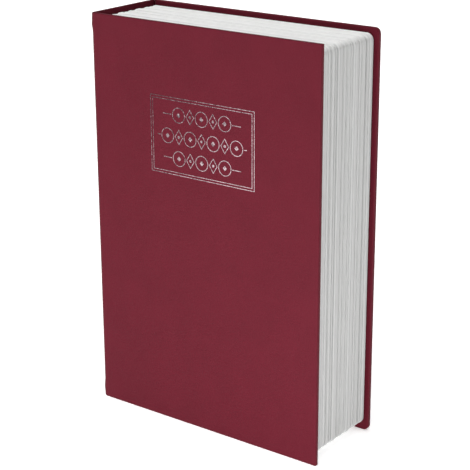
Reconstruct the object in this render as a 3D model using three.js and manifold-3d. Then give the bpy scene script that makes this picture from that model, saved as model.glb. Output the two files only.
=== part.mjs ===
// A safe hidden in a standing hardback book: a paper-covered case with boards and a spine, a moulded
// block that looks like closed pages, and in its pocket a steel box whose lid has a three-dial lock.
//
// Millimetres, +Z up. The book stands on the tail edges of its covers, and the origin is at the middle
// of that footprint. -X is the spine, +X the fore-edge, -Y the front cover and +Y the back cover.

import * as THREE from "three";
import { mergeVertices } from "three/addons/utils/BufferGeometryUtils.js";
import Module from "manifold-3d";

// The whole book
const HEIGHT = 240;
const WIDTH = 160;
const THICKNESS = 58;

// Clearances: a glued, welded or screwed seam, a running fit, and a loose fit
const SEAM = 0.05;
const FIT = 0.3;
const LOOSE = 0.8;

// Case: covering paper over grey board, its edges turned in under an endpaper
const PAPER = 0.3;
const BOARD = 2.2;
const SPINE_BOARD = 1.2;
const ENDPAPER = 0.2;
const TURN_IN = 12;
const ENDPAPER_INSET = 5;
const FRONT_CORNER_R = 0.8;
const BACK_CORNER_R = 3.5;
const FOLD_R = 3;

// How far the covers stand out past the page block
const HEAD_SQUARE = 2.6;
const TAIL_SQUARE = 4.4;
const FORE_SQUARE = 2.2;
const SPINE_GAP = 1.05;

// Page block: bundles of pages, each a ridge round all four sides. The widths are in millimetres on a
// block 51.3 thick, and keep their proportions on any other. Some bundles lie a little deeper.
const RIDGE_WIDTHS = [7, 3.6, 3.1, 2.1, 5.4, 3.8, 3.8, 2.4, 5.8, 2.4, 4.4, 3.6, 3.9];
const RIDGE_SETBACKS = [0, 0.35, 0.15, 0.4, 0, 0.3, 0.1, 0.4, 0, 0.35, 0.1, 0.3, 0.2];
const RIDGE_DEPTH = 1.1;
const RIDGE_SHOULDER = 0.25;
const GROOVE_SLOPE = 0.35;
const CREST_SLOPE = 0.55;
const BLOCK_CORNER_R = 4.5;
const BLOCK_WALL = 2.2;
const POCKET_WALL = 1.5;
const BORDER = 9.8;
const COVER_GAP = 0.35;
const WEB = 1.2;
const WEBS_ALONG = 3;
const WEBS_ACROSS = 2;

// Steel box
const TRAY_SHEET = 0.8;
const TRAY_CORNER_R = 2;
const FLANGE = 7.2;
const LID_SHEET = 1;
const LID_RECESS = 4.2;
const LID_CORNER_R = 1.5;
const RIVET_HEAD_R = 3;
const RIVET_HEAD_H = 1;
const RIVET_CROWN_R = 2.4;
const RIVET_CROWN_H = 0.75;
const RIVET_R = 1.5;
const RIVET_INSET = 18;

// Lid hinge
const KNUCKLE_R = 2.1;
const PIN_R = 1.05;
const LEAF = 0.8;
const LEAF_WIDTH = 9;
const KNUCKLES = 7;
const HINGE_INSET = 6;

// Lock: number dials on a shaft along X, and a slide whose nubs pass the dials' notches
const DIALS = 3;
const DIAL_R = 8;
const DIAL_WIDTH = 5.2;
const DIAL_GAP = 0.95;
const DIAL_POSITIONS = 10;
const SCALLOP_R = 1.2;
const SCALLOP_DEPTH = 0.4;
const HUB_R = 2.6;
const NOTCHED_WIDTH = 1;
const NUB = 1.2;
const NUB_SPAN = 2;
const SHAFT_R = 1.5;
const THROW = 4;
const BOLT_SHEET = 1.2;
const BOLT_SPAN = 8;
const TONGUE_OUT = 4.2;
const CASE_SHEET = 1;
const KNOB_LENGTH = 6;
const KNOB_SPAN = 10;
const STEM_LENGTH = 3;
const STEM_SPAN = 4;
const SPRING = 0.4;
const FINGER_SPAN = 3.6;
const ESCUTCHEON = 1.2;
const ESCUTCHEON_R = 3;
const SCREW_R = 1.3;
const SCREW_HEAD_R = 2.6;
const SCREW_HEAD_H = 1.4;
const SCREW_CHAMFER = 0.6;
const POST_WALL = 0.7;
const EAR = 7;

// Facets: arc steps on a quarter turn, and sides on a small and a large round
const ARC_STEPS = 6;
const SMALL_SIDES = 16;
const LARGE_SIDES = 40;

// Points nearer than this are one, and cutters reach this far past the face they cut
const WELD = 1e-4;
const PAST = 1;

const wasm = await Module();
wasm.setup();

// Places that several pieces share
const foldX = -WIDTH / 2 + FOLD_R;
const boardDepth = PAPER + SEAM;
const turnInDepth = boardDepth + BOARD + SEAM;
const endpaperDepth = turnInDepth + PAPER + SEAM;
const coverStack = endpaperDepth + ENDPAPER;
const spineTurnInDepth = boardDepth + SPINE_BOARD + SEAM;
const frontInnerY = -THICKNESS / 2 + coverStack;
const coverHinge = { x: -WIDTH / 2 + FOLD_R / 2, y: -THICKNESS / 2 + FOLD_R / 2 };

const block = {
  x0: -WIDTH / 2 + spineTurnInDepth + PAPER + SPINE_GAP,
  x1: WIDTH / 2 - FORE_SQUARE,
  y0: frontInnerY + COVER_GAP,
  y1: THICKNESS / 2 - coverStack - SEAM,
  z0: TAIL_SQUARE,
  z1: HEIGHT - HEAD_SQUARE,
};
const pocket = {
  x0: block.x0 + BORDER,
  x1: block.x1 - BORDER,
  y1: block.y1 - POCKET_WALL,
  z0: block.z0 + BORDER,
  z1: block.z1 - BORDER,
};
const lidFrontY = block.y0 + LID_RECESS;
const lidBackY = lidFrontY + LID_SHEET;
const tray = {
  x0: pocket.x0 + FIT,
  x1: pocket.x1 - FIT,
  y0: lidBackY + FIT,
  y1: pocket.y1 - SEAM,
  z0: pocket.z0 + FIT,
  z1: pocket.z1 - FIT,
};
const lidHinge = {
  x: tray.x0 + TRAY_SHEET + SEAM + KNUCKLE_R,
  y: lidFrontY - SEAM - LEAF + KNUCKLE_R,
};
const middleZ = (tray.z0 + tray.z1) / 2;
const flangeInnerX = tray.x1 - FLANGE;
const lid = {
  x0: lidHinge.x + KNUCKLE_R + FIT,
  x1: tray.x1 - LOOSE + FIT,
  z0: tray.z0 + LOOSE - FIT,
  z1: tray.z1 - LOOSE + FIT,
};

// Lock places along X, counted from the left end of the lock case
const nubRun = NUB + THROW;
const dialLength = DIAL_WIDTH + FIT + nubRun;
const dialPitch = dialLength + FIT;
const firstDialX = CASE_SHEET + FIT;
const bearingX = firstDialX + DIALS * dialPitch;
const riserX = bearingX + CASE_SHEET + FIT;
const stemX = riserX + BOLT_SHEET + LOOSE;
const caseLength = stemX + STEM_LENGTH + THROW + LOOSE + CASE_SHEET;
const tongueTipX = caseLength + TONGUE_OUT;
// and from the axis of the dials in Y and Z
const lock = {
  x: flangeInnerX - LOOSE - tongueTipX,
  y: frontInnerY + DIAL_GAP + DIAL_R,
  z: middleZ,
};
const caseFrontY = lidBackY + SEAM - lock.y;
const barFrontY = DIAL_R + FIT;
const caseBackY = barFrontY + BOLT_SHEET + FIT + CASE_SHEET;
const caseHalfZ = DIAL_R + FIT + SPRING + SEAM + CASE_SHEET;
const tongueFrontY = tray.y0 + TRAY_SHEET + FIT - lock.y;
const escutcheonBackY = lidFrontY - SEAM - lock.y;
const notchedR = -escutcheonBackY - FIT;
const earZ = caseHalfZ + EAR / 2;
const earsX = [CASE_SHEET + EAR / 2, caseLength - CASE_SHEET - EAR / 2];
const postR = SCREW_R + FIT + POST_WALL;

// Solids and meshes

function solid(geometry) {
  geometry.deleteAttribute("normal");
  geometry.deleteAttribute("uv");
  const merged = mergeVertices(geometry, WELD);
  const mesh = new wasm.Mesh({
    numProp: 3,
    vertProperties: merged.attributes.position.array,
    triVerts: new Uint32Array(merged.index.array),
  });
  return new wasm.Manifold(mesh);
}

function union(solids) {
  return solids.reduce((sum, next) => sum.add(next));
}

function without(body, cutters) {
  return cutters.reduce((rest, cutter) => rest.subtract(cutter), body);
}

function meshOf(name, body, material) {
  const { numProp, vertProperties, triVerts } = body.getMesh();
  const data = new THREE.InterleavedBuffer(vertProperties, numProp);
  const soup = new THREE.BufferGeometry();
  soup.setAttribute("position", new THREE.InterleavedBufferAttribute(data, 3, 0));
  soup.setIndex(new THREE.BufferAttribute(triVerts, 1));
  const geometry = soup.toNonIndexed();
  geometry.computeVertexNormals();
  const mesh = new THREE.Mesh(geometry, material);
  mesh.name = name;
  return mesh;
}

// The directions in space of an outline's two axes and of its extrusion
const FRAMES = {
  x: [[0, 1, 0], [0, 0, 1], [1, 0, 0]],
  y: [[1, 0, 0], [0, 0, 1], [0, -1, 0]],
  z: [[1, 0, 0], [0, 1, 0], [0, 0, 1]],
};

function prism(axis, outline, from, to) {
  const geometry = new THREE.ExtrudeGeometry(outline, {
    depth: to - from,
    bevelEnabled: false,
    curveSegments: ARC_STEPS / 2,
  });
  const [u, v, w] = FRAMES[axis].map((direction) => new THREE.Vector3(...direction));
  geometry.applyMatrix4(new THREE.Matrix4().makeBasis(u, v, w));
  const start = new THREE.Vector3();
  start[axis] = axis === "y" ? to : from;
  geometry.translate(start.x, start.y, start.z);
  return solid(geometry);
}

function box(x0, x1, y0, y1, z0, z1) {
  const geometry = new THREE.BoxGeometry(x1 - x0, y1 - y0, z1 - z0);
  geometry.translate((x0 + x1) / 2, (y0 + y1) / 2, (z0 + z1) / 2);
  return solid(geometry);
}

function rod(axis, radius, from, to, a = 0, b = 0, sides = SMALL_SIDES) {
  const turn = (2 * Math.PI) / sides;
  const points = Array.from({ length: sides }, (_, i) => {
    return new THREE.Vector2(a + radius * Math.cos(i * turn), b + radius * Math.sin(i * turn));
  });
  return prism(axis, new THREE.Shape(points), from, to);
}

// A rectangle whose corners, from (u0, v0) round through (u1, v0), have the four given radii
function rectangle(u0, u1, v0, v1, radii = evenly(0)) {
  const most = Math.min(u1 - u0, v1 - v0) / 2;
  const points = radii.flatMap((wanted, corner) => {
    const radius = Math.max(0, Math.min(wanted, most));
    const u = corner === 1 || corner === 2 ? u1 - radius : u0 + radius;
    const v = corner > 1 ? v1 - radius : v0 + radius;
    return quarterArc(u, v, radius, Math.PI + (corner * Math.PI) / 2);
  });
  return new THREE.Shape(points.filter((point, i) => {
    return point.distanceTo(points[(i + 1) % points.length]) > WELD;
  }));
}

function quarterArc(u, v, radius, start) {
  const steps = radius > 0 ? ARC_STEPS : 0;
  return Array.from({ length: steps + 1 }, (_, i) => {
    const angle = start + (i * Math.PI) / (2 * ARC_STEPS);
    return new THREE.Vector2(u + radius * Math.cos(angle), v + radius * Math.sin(angle));
  });
}

function evenly(radius) {
  return [radius, radius, radius, radius];
}

// Materials

function material(color, roughness, metalness = 0) {
  return new THREE.MeshStandardMaterial({ color, roughness, metalness });
}

const leatherette = material(0x74293a, 0.55);
const greyBoard = material(0x8d8a84, 0.9);
const endpaper = material(0xe9e4da, 0.85);
const pagePlastic = material(0xe4e4e2, 0.6);
const blackSteel = material(0x24262a, 0.5, 0.4);
const zincSteel = material(0xa9adb2, 0.35, 0.9);
const chrome = material(0xd5d8dc, 0.15, 1);
const lockPlastic = material(0x1b1c1e, 0.45);
const dialPlastic = material(0xf1f0ec, 0.4);

// The case. Depths are counted inwards from the outer face of the cover on that side, -1 or 1.

function layer(side, outline, from, to) {
  const near = side * (THICKNESS / 2 - from);
  const far = side * (THICKNESS / 2 - to);
  return prism("y", outline, Math.min(near, far), Math.max(near, far));
}

function coverOutline(side, inset, startX = foldX) {
  const radius = Math.max(0, (side < 0 ? FRONT_CORNER_R : BACK_CORNER_R) - inset);
  return rectangle(startX, WIDTH / 2 - inset, inset, HEIGHT - inset, [0, radius, radius, 0]);
}

function windowOutline(inset, startX) {
  return rectangle(startX, WIDTH / 2 - inset, inset, HEIGHT - inset);
}

function coverPaper(side) {
  const pastFold = foldX - FOLD_R;
  const slab = layer(side, coverOutline(side, 0), 0, turnInDepth + PAPER);
  const boardRoom = layer(side, coverOutline(side, PAPER, pastFold), PAPER, turnInDepth);
  const window = layer(side, windowOutline(TURN_IN, pastFold), turnInDepth - SEAM, coverStack);
  return without(slab, [boardRoom, window]);
}

function coverBoard(side) {
  return layer(side, coverOutline(side, PAPER + SEAM), boardDepth, boardDepth + BOARD);
}

// The endpaper lies on the turned-in edges and steps down to the board inside them.
function coverEndpaper(side) {
  const sunk = TURN_IN + SEAM;
  const onBoard = turnInDepth;
  const startX = foldX + ENDPAPER_INSET;
  const rim = layer(side, windowOutline(ENDPAPER_INSET, startX), endpaperDepth, coverStack);
  const middle = layer(side, windowOutline(sunk, startX), onBoard, coverStack);
  const step = windowOutline(sunk + ENDPAPER, startX + ENDPAPER);
  const hollow = layer(side, step, onBoard + ENDPAPER, coverStack + PAPER);
  return without(union([rim, middle]), [hollow]);
}

function jointPaper(side) {
  const centre = side * (THICKNESS / 2 - FOLD_R);
  const [from, to] = side < 0 ? [Math.PI, 1.5 * Math.PI] : [0.5 * Math.PI, Math.PI];
  const outline = new THREE.Shape();
  outline.absarc(foldX, centre, FOLD_R, from, to, false);
  outline.absarc(foldX, centre, FOLD_R - PAPER, to, from, true);
  return prism("z", outline, 0, HEIGHT);
}

const spine = { x0: -WIDTH / 2, y0: -THICKNESS / 2 + FOLD_R, y1: THICKNESS / 2 - FOLD_R };

function spinePaper() {
  const { x0, y0, y1 } = spine;
  const slab = box(x0, x0 + spineTurnInDepth + PAPER, y0, y1, 0, HEIGHT);
  const inner = x0 + spineTurnInDepth;
  const boardRoom = box(x0 + PAPER, inner, y0 - PAST, y1 + PAST, PAPER, HEIGHT - PAPER);
  const window = box(x0 + PAPER, x0 + coverStack, y0 - PAST, y1 + PAST, TURN_IN, HEIGHT - TURN_IN);
  return without(slab, [boardRoom, window]);
}

function spineBoard() {
  const { x0, y0, y1 } = spine;
  const end = PAPER + SEAM;
  return box(x0 + boardDepth, x0 + boardDepth + SPINE_BOARD, y0, y1, end, HEIGHT - end);
}

function spineLining() {
  const { x0, y0, y1 } = spine;
  const onBoard = x0 + spineTurnInDepth;
  const end = TURN_IN + SEAM;
  return box(onBoard, onBoard + ENDPAPER, y0, y1, end, HEIGHT - end);
}

// The page block

function blockRing(y, inset) {
  const radius = BLOCK_CORNER_R - inset;
  const outline = rectangle(
    block.x0 + inset,
    block.x1 - inset,
    block.z0 + inset,
    block.z1 - inset,
    evenly(radius),
  );
  return outline.getPoints().map((point) => [point.x, y, point.y]);
}

// Where the outline of the block changes, from front to back: each ridge rises from a groove to its
// shoulder and crest, and falls again.
function ridgeStations() {
  const total = RIDGE_WIDTHS.reduce((sum, width) => sum + width);
  const scale = (block.y1 - block.y0) / total;
  const stations = [];
  let y = block.y0;
  RIDGE_WIDTHS.forEach((width, i) => {
    const end = y + width * scale;
    const crest = RIDGE_SETBACKS[i];
    stations.push([y, RIDGE_DEPTH]);
    stations.push([y + GROOVE_SLOPE, crest + RIDGE_SHOULDER]);
    stations.push([y + GROOVE_SLOPE + CREST_SLOPE, crest]);
    stations.push([end - GROOVE_SLOPE - CREST_SLOPE, crest]);
    stations.push([end - GROOVE_SLOPE, crest + RIDGE_SHOULDER]);
    y = end;
  });
  stations.push([block.y1, RIDGE_DEPTH]);
  return stations;
}

// A closed skin over rings of points, each ring with as many points as the next
function loft(rings) {
  const count = rings[0].length;
  const indices = [];
  for (let r = 0; r + 1 < rings.length; r++) {
    for (let i = 0; i < count; i++) {
      const here = r * count;
      const next = here + count;
      const j = (i + 1) % count;
      indices.push(here + i, next + j, here + j, here + i, next + i, next + j);
    }
  }
  const last = (rings.length - 1) * count;
  for (let i = 1; i + 1 < count; i++) {
    indices.push(0, i, i + 1, last, last + i + 1, last + i);
  }
  const geometry = new THREE.BufferGeometry();
  geometry.setAttribute("position", new THREE.Float32BufferAttribute(rings.flat(2), 3));
  geometry.setIndex(indices);
  return solid(geometry);
}

function pocketOutline(grown) {
  const radius = TRAY_CORNER_R + FIT + grown;
  const { x0, x1, z0, z1 } = pocket;
  return rectangle(x0 - grown, x1 + grown, z0 - grown, z1 + grown, evenly(radius));
}

// Webs across the channel between the ridged wall and the pocket
function channelWebs(inset) {
  const { x0, x1, y0, y1, z0, z1 } = block;
  const places = (from, to, count) => {
    return Array.from({ length: count }, (_, i) => from + ((i + 1) * (to - from)) / (count + 1));
  };
  const along = places(z0, z1, WEBS_ALONG).map((z) => {
    return box(x0 + inset, x1 - inset, y0 + BLOCK_WALL, y1, z - WEB / 2, z + WEB / 2);
  });
  const across = places(x0, x1, WEBS_ACROSS).map((x) => {
    return box(x - WEB / 2, x + WEB / 2, y0 + BLOCK_WALL, y1, z0 + inset, z1 - inset);
  });
  return [...along, ...across];
}

function pageBlock() {
  const ridged = loft(ridgeStations().map(([y, inset]) => blockRing(y, inset)));
  const inset = RIDGE_DEPTH + BLOCK_WALL;
  const inside = rectangle(
    block.x0 + inset,
    block.x1 - inset,
    block.z0 + inset,
    block.z1 - inset,
    evenly(BLOCK_CORNER_R - inset),
  );
  const room = prism("y", inside, block.y0 + BLOCK_WALL, block.y1 + PAST);
  const tub = prism("y", pocketOutline(POCKET_WALL), block.y0, block.y1);
  const hollow = prism("y", pocketOutline(0), block.y0 - PAST, pocket.y1);
  const holes = rivetHoles(pocket.y1, block.y1);
  const walls = union([ridged.subtract(room), tub, ...channelWebs(inset - SEAM)]);
  return without(walls, [hollow, ...holes]);
}

// The steel box

function rivetPlaces() {
  const xs = [tray.x0 + RIVET_INSET, tray.x1 - RIVET_INSET];
  const zs = [tray.z0 + RIVET_INSET, tray.z1 - RIVET_INSET];
  return xs.flatMap((x) => zs.map((z) => [x, z]));
}

function rivetHoles(from, to) {
  return rivetPlaces().map(([x, z]) => rod("y", RIVET_R + FIT, from - PAST, to + PAST, x, z));
}

function trayOutline(inset) {
  const { x0, x1, z0, z1 } = tray;
  const radius = TRAY_CORNER_R - inset;
  return rectangle(x0 + inset, x1 - inset, z0 + inset, z1 - inset, evenly(radius));
}

// The walls turn inwards at the top on three sides. On the hinge side the wall ends below the knuckles.
function steelTray() {
  const { x0, x1, y0, y1, z0, z1 } = tray;
  const shell = prism("y", trayOutline(0), y0, y1);
  const inside = prism("y", trayOutline(TRAY_SHEET), y0 + TRAY_SHEET, y1 - TRAY_SHEET);
  const mouth = box(
    x0 + TRAY_SHEET,
    flangeInnerX,
    y0 - PAST,
    y0 + TRAY_SHEET + PAST,
    z0 + FLANGE,
    z1 - FLANGE,
  );
  const hingeRoom = box(
    x0 - PAST,
    lidHinge.x + KNUCKLE_R + FIT,
    y0 - PAST,
    lidHinge.y + KNUCKLE_R + FIT,
    z0 + HINGE_INSET,
    z1 - HINGE_INSET,
  );
  const holes = rivetHoles(y1 - TRAY_SHEET, y1);
  return without(shell, [inside, mouth, hingeRoom, ...holes]);
}

// A rivet through the floor of the box and the floor of the pocket, its head at y = 0
function rivet() {
  const length = block.y1 - tray.y1 + TRAY_SHEET - SEAM;
  const profile = [
    new THREE.Vector2(0, -length),
    new THREE.Vector2(RIVET_R, -length),
    new THREE.Vector2(RIVET_R, SEAM),
    new THREE.Vector2(RIVET_HEAD_R, SEAM),
    new THREE.Vector2(RIVET_CROWN_R, RIVET_CROWN_H),
    new THREE.Vector2(0, RIVET_HEAD_H),
  ];
  return solid(new THREE.LatheGeometry(profile, SMALL_SIDES));
}

// The lid hinge: two leaves whose rolled knuckles take turns on one pin

function knuckleSpans(first) {
  const z0 = tray.z0 + HINGE_INSET + FIT;
  const z1 = tray.z1 - HINGE_INSET - FIT;
  const step = (z1 - z0 + FIT) / KNUCKLES;
  const spans = [];
  for (let i = first; i < KNUCKLES; i += 2) spans.push([z0 + i * step, z0 + (i + 1) * step - FIT]);
  return spans;
}

function hingeLeaf(first, strip) {
  const { x, y } = lidHinge;
  const bore = PIN_R + FIT;
  const spans = knuckleSpans(first);
  const knuckles = spans.map(([from, to]) => rod("z", KNUCKLE_R, from, to, x, y));
  const tabs = spans.map(([from, to]) => strip(0, KNUCKLE_R + 2 * FIT, from, to));
  const plate = strip(KNUCKLE_R + FIT, KNUCKLE_R + LEAF_WIDTH, spans[0][0], spans.at(-1)[1]);
  const bores = spans.map(([from, to]) => rod("z", bore, from - PAST, to + PAST, x, y));
  return without(union([plate, ...tabs, ...knuckles]), bores);
}

function trayHingeLeaf() {
  const { x, y } = lidHinge;
  return hingeLeaf(0, (near, far, from, to) => {
    return box(x - KNUCKLE_R, x - KNUCKLE_R + LEAF, y + near, y + far, from, to);
  });
}

function lidHingeLeaf() {
  const { x, y } = lidHinge;
  return hingeLeaf(1, (near, far, from, to) => {
    return box(x + near, x + far, y - KNUCKLE_R, y - KNUCKLE_R + LEAF, from, to);
  });
}

function hingePin() {
  const spans = knuckleSpans(0);
  return rod("z", PIN_R, spans[0][0], spans.at(-1)[1], lidHinge.x, lidHinge.y);
}

// The lid, with an opening for the lock and holes for the posts of its escutcheon

function lidPanel() {
  const radii = [0, LID_CORNER_R, LID_CORNER_R, 0];
  const panel = prism("y", rectangle(lid.x0, lid.x1, lid.z0, lid.z1, radii), lidFrontY, lidBackY);
  const halfZ = caseHalfZ - CASE_SHEET;
  const opening = box(
    lock.x + CASE_SHEET,
    lock.x + caseLength - CASE_SHEET,
    lidFrontY - PAST,
    lidBackY + PAST,
    lock.z - halfZ,
    lock.z + halfZ,
  );
  const holes = screwPlaces().map(([x, z]) => {
    return rod("y", postR + FIT, lidFrontY - PAST, lidBackY + PAST, lock.x + x, lock.z + z);
  });
  return without(panel, [opening, ...holes]);
}

// The lock, built from the left end of its case in X and from the axis of its dials in Y and Z

function screwPlaces() {
  return earsX.flatMap((x) => [-earZ, earZ].map((z) => [x, z]));
}

function halfChord(radius, distance) {
  return Math.sqrt(Math.max(0, radius * radius - distance * distance));
}

function escutcheon() {
  const halfZ = earZ + postR + LOOSE;
  const outline = rectangle(-LOOSE, caseLength + LOOSE, -halfZ, halfZ, evenly(ESCUTCHEON_R));
  const front = escutcheonBackY - ESCUTCHEON;
  const plate = prism("y", outline, front, escutcheonBackY);
  const windowZ = halfChord(DIAL_R, escutcheonBackY) + LOOSE;
  const windows = dialStarts().map((x) => {
    return box(x - FIT / 2, x + DIAL_WIDTH + FIT, front - PAST, escutcheonBackY + PAST, -windowZ, windowZ);
  });
  const slot = box(
    stemX - FIT,
    stemX + STEM_LENGTH + THROW + FIT,
    front - PAST,
    escutcheonBackY + PAST,
    -STEM_SPAN / 2 - FIT,
    STEM_SPAN / 2 + FIT,
  );
  const backOfPosts = escutcheonBackY + LID_SHEET;
  const posts = screwPlaces().map(([x, z]) => rod("y", postR, escutcheonBackY - SEAM, backOfPosts, x, z));
  const boreFront = front + ESCUTCHEON / 2;
  const bores = screwPlaces().map(([x, z]) => rod("y", SCREW_R + FIT, boreFront, backOfPosts + PAST, x, z));
  return without(union([plate, ...posts]), [...windows, slot, ...bores]);
}

function dialStarts() {
  return Array.from({ length: DIALS }, (_, i) => firstDialX + i * dialPitch);
}

// A tub that opens towards the lid, with a wall that bears the shaft and an ear for each screw
function lockCase() {
  const inner = caseHalfZ - CASE_SHEET;
  const tub = box(0, caseLength, caseFrontY, caseBackY, -caseHalfZ, caseHalfZ);
  const hollows = [
    box(CASE_SHEET, bearingX, caseFrontY - PAST, caseBackY - CASE_SHEET, -inner, inner),
    box(
      bearingX + CASE_SHEET,
      caseLength - CASE_SHEET,
      caseFrontY - PAST,
      caseBackY - CASE_SHEET,
      -inner,
      inner,
    ),
  ];
  const halfBolt = BOLT_SPAN / 2 + FIT;
  const barSlot = box(bearingX - PAST, riserX, barFrontY - FIT, caseBackY - CASE_SHEET, -halfBolt, halfBolt);
  const tongueSlot = box(
    caseLength - CASE_SHEET - PAST,
    caseLength + PAST,
    tongueFrontY - FIT,
    tongueFrontY + BOLT_SHEET + FIT,
    -halfBolt,
    halfBolt,
  );
  const shaftHole = rod("x", SHAFT_R + FIT / 2, -PAST, riserX, 0, 0);
  const ears = screwPlaces().map(([x, z]) => {
    const [from, to] = z < 0 ? [-caseHalfZ - EAR, -inner] : [inner, caseHalfZ + EAR];
    return box(x - EAR / 2, x + EAR / 2, caseFrontY, caseFrontY + CASE_SHEET, from, to);
  });
  const holes = screwPlaces().map(([x, z]) => {
    return rod("y", SCREW_R + FIT, caseFrontY - PAST, caseFrontY + CASE_SHEET + PAST, x, z);
  });
  return without(union([tub, ...ears]), [...hollows, barSlot, tongueSlot, shaftHole, ...holes]);
}

function dialShaft() {
  return rod("x", SHAFT_R, 0, bearingX + CASE_SHEET);
}

// A dial starts at x = 0: the numbered wheel with a finger scallop between each two numbers, then the
// hub with the notched disc. At rest the notch faces the slide.
function numberDial() {
  const wheel = rod("x", DIAL_R, 0, DIAL_WIDTH, 0, 0, LARGE_SIDES);
  const reach = DIAL_R + SCALLOP_R - SCALLOP_DEPTH;
  const scallops = Array.from({ length: DIAL_POSITIONS }, (_, i) => {
    const turn = ((i + 0.5) * 2 * Math.PI) / DIAL_POSITIONS;
    return rod("x", SCALLOP_R, -PAST, DIAL_WIDTH + PAST, reach * Math.cos(turn), reach * Math.sin(turn));
  });
  const hub = rod("x", HUB_R, DIAL_WIDTH - SEAM, dialLength);
  const discX = DIAL_WIDTH + FIT + (nubRun - NOTCHED_WIDTH) / 2;
  const disc = rod("x", notchedR, discX, discX + NOTCHED_WIDTH, 0, 0, LARGE_SIDES);
  const halfNotch = NUB_SPAN / 2 + FIT;
  const notch = box(
    discX - PAST,
    discX + NOTCHED_WIDTH + PAST,
    HUB_R,
    notchedR + PAST,
    -halfNotch,
    halfNotch,
  );
  const bore = rod("x", SHAFT_R + FIT / 2, -PAST, dialLength + PAST);
  return without(union([without(wheel, scallops), hub, disc.subtract(notch)]), [bore]);
}

// A bent strip: a bar behind the dials with a nub for each, a riser, and the tongue that locks the lid
function boltSlide() {
  const half = BOLT_SPAN / 2;
  const barBackY = barFrontY + BOLT_SHEET;
  const bar = box(CASE_SHEET + FIT, riserX + BOLT_SHEET, barFrontY, barBackY, -half, half);
  const riser = box(riserX, riserX + BOLT_SHEET, tongueFrontY, barBackY, -half, half);
  const tongue = box(riserX, tongueTipX, tongueFrontY, tongueFrontY + BOLT_SHEET, -half, half);
  const nubs = dialStarts().map((x) => {
    const from = x + DIAL_WIDTH + FIT;
    return box(from, from + NUB, HUB_R + FIT, barFrontY + SEAM, -NUB_SPAN / 2, NUB_SPAN / 2);
  });
  return union([bar, riser, tongue, ...nubs]);
}

function releaseKnob() {
  const capBackY = escutcheonBackY - ESCUTCHEON - FIT;
  const capFrontY = -DIAL_R;
  const middle = stemX + STEM_LENGTH / 2;
  const stemBackY = tongueFrontY - SEAM;
  const cap = box(
    middle - KNOB_LENGTH / 2,
    middle + KNOB_LENGTH / 2,
    capFrontY,
    capBackY,
    -KNOB_SPAN / 2,
    KNOB_SPAN / 2,
  );
  const stem = box(
    stemX,
    stemX + STEM_LENGTH,
    capBackY - SEAM,
    stemBackY,
    -STEM_SPAN / 2,
    STEM_SPAN / 2,
  );
  return union([cap, stem]);
}

// A comb of leaf springs under the dials, one finger for each
function clickSpring() {
  const z0 = -DIAL_R - FIT - SPRING;
  const z1 = -DIAL_R - FIT;
  const baseFrontY = DIAL_R / 2;
  const base = box(firstDialX, bearingX - FIT, baseFrontY, barFrontY, z0, z1);
  const fingers = dialStarts().map((x) => {
    const middle = x + DIAL_WIDTH / 2;
    const half = FINGER_SPAN / 2;
    return box(middle - half, middle + half, -SCALLOP_R, baseFrontY + SEAM, z0, z1);
  });
  return union([base, ...fingers]);
}

// A screw pointing down, its head standing on y = 0
function lockScrew() {
  const length = CASE_SHEET + LID_SHEET;
  const profile = [
    new THREE.Vector2(0, -length),
    new THREE.Vector2(SCREW_R, -length),
    new THREE.Vector2(SCREW_R, SEAM),
    new THREE.Vector2(SCREW_HEAD_R, SEAM),
    new THREE.Vector2(SCREW_HEAD_R, SCREW_HEAD_H - SCREW_CHAMFER),
    new THREE.Vector2(SCREW_HEAD_R - SCREW_CHAMFER, SCREW_HEAD_H),
    new THREE.Vector2(0, SCREW_HEAD_H),
  ];
  return solid(new THREE.LatheGeometry(profile, SMALL_SIDES));
}

// Assembly

function group(...children) {
  const made = new THREE.Group();
  made.add(...children);
  return made;
}

function placed(object, x, y, z) {
  object.position.set(x, y, z);
  return object;
}

function cover(side, name) {
  return group(
    meshOf(`${name}_cover_paper`, coverPaper(side), leatherette),
    meshOf(`${name}_board`, coverBoard(side), greyBoard),
    meshOf(`${name}_endpaper`, coverEndpaper(side), endpaper),
  );
}

function binding() {
  return group(
    cover(-1, "front"),
    cover(1, "back"),
    meshOf("front_joint_paper", jointPaper(-1), leatherette),
    meshOf("back_joint_paper", jointPaper(1), leatherette),
    meshOf("spine_paper", spinePaper(), leatherette),
    meshOf("spine_board", spineBoard(), greyBoard),
    meshOf("spine_lining", spineLining(), endpaper),
  );
}

function steelBox() {
  const floorY = tray.y1 - TRAY_SHEET;
  const rivets = rivetPlaces().map(([x, z], i) => {
    const mesh = meshOf(`tray_rivet_${i + 1}`, rivet(), zincSteel);
    mesh.rotation.x = Math.PI;
    return placed(mesh, x, floorY, z);
  });
  return group(
    meshOf("steel_tray", steelTray(), blackSteel),
    meshOf("tray_hinge_leaf", trayHingeLeaf(), zincSteel),
    meshOf("hinge_pin", hingePin(), zincSteel),
    ...rivets,
  );
}

function comboLock() {
  const dials = dialStarts().map((x, i) => {
    return placed(meshOf(`number_dial_${i + 1}`, numberDial(), dialPlastic), x, 0, 0);
  });
  const screws = screwPlaces().map(([x, z], i) => {
    return placed(meshOf(`lock_screw_${i + 1}`, lockScrew(), zincSteel), x, caseFrontY + CASE_SHEET, z);
  });
  return group(
    meshOf("escutcheon", escutcheon(), chrome),
    meshOf("lock_case", lockCase(), lockPlastic),
    meshOf("dial_shaft", dialShaft(), zincSteel),
    meshOf("click_spring", clickSpring(), zincSteel),
    meshOf("bolt_slide", boltSlide(), zincSteel),
    meshOf("release_knob", releaseKnob(), chrome),
    ...dials,
    ...screws,
  );
}

function boxLid() {
  return group(
    meshOf("lid_panel", lidPanel(), blackSteel),
    meshOf("lid_hinge_leaf", lidHingeLeaf(), zincSteel),
    placed(comboLock(), lock.x, lock.y, lock.z),
  );
}

const book = group(binding(), meshOf("page_block", pageBlock(), pagePlastic), steelBox(), boxLid());
book.name = "book_safe";

export default book;
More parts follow.
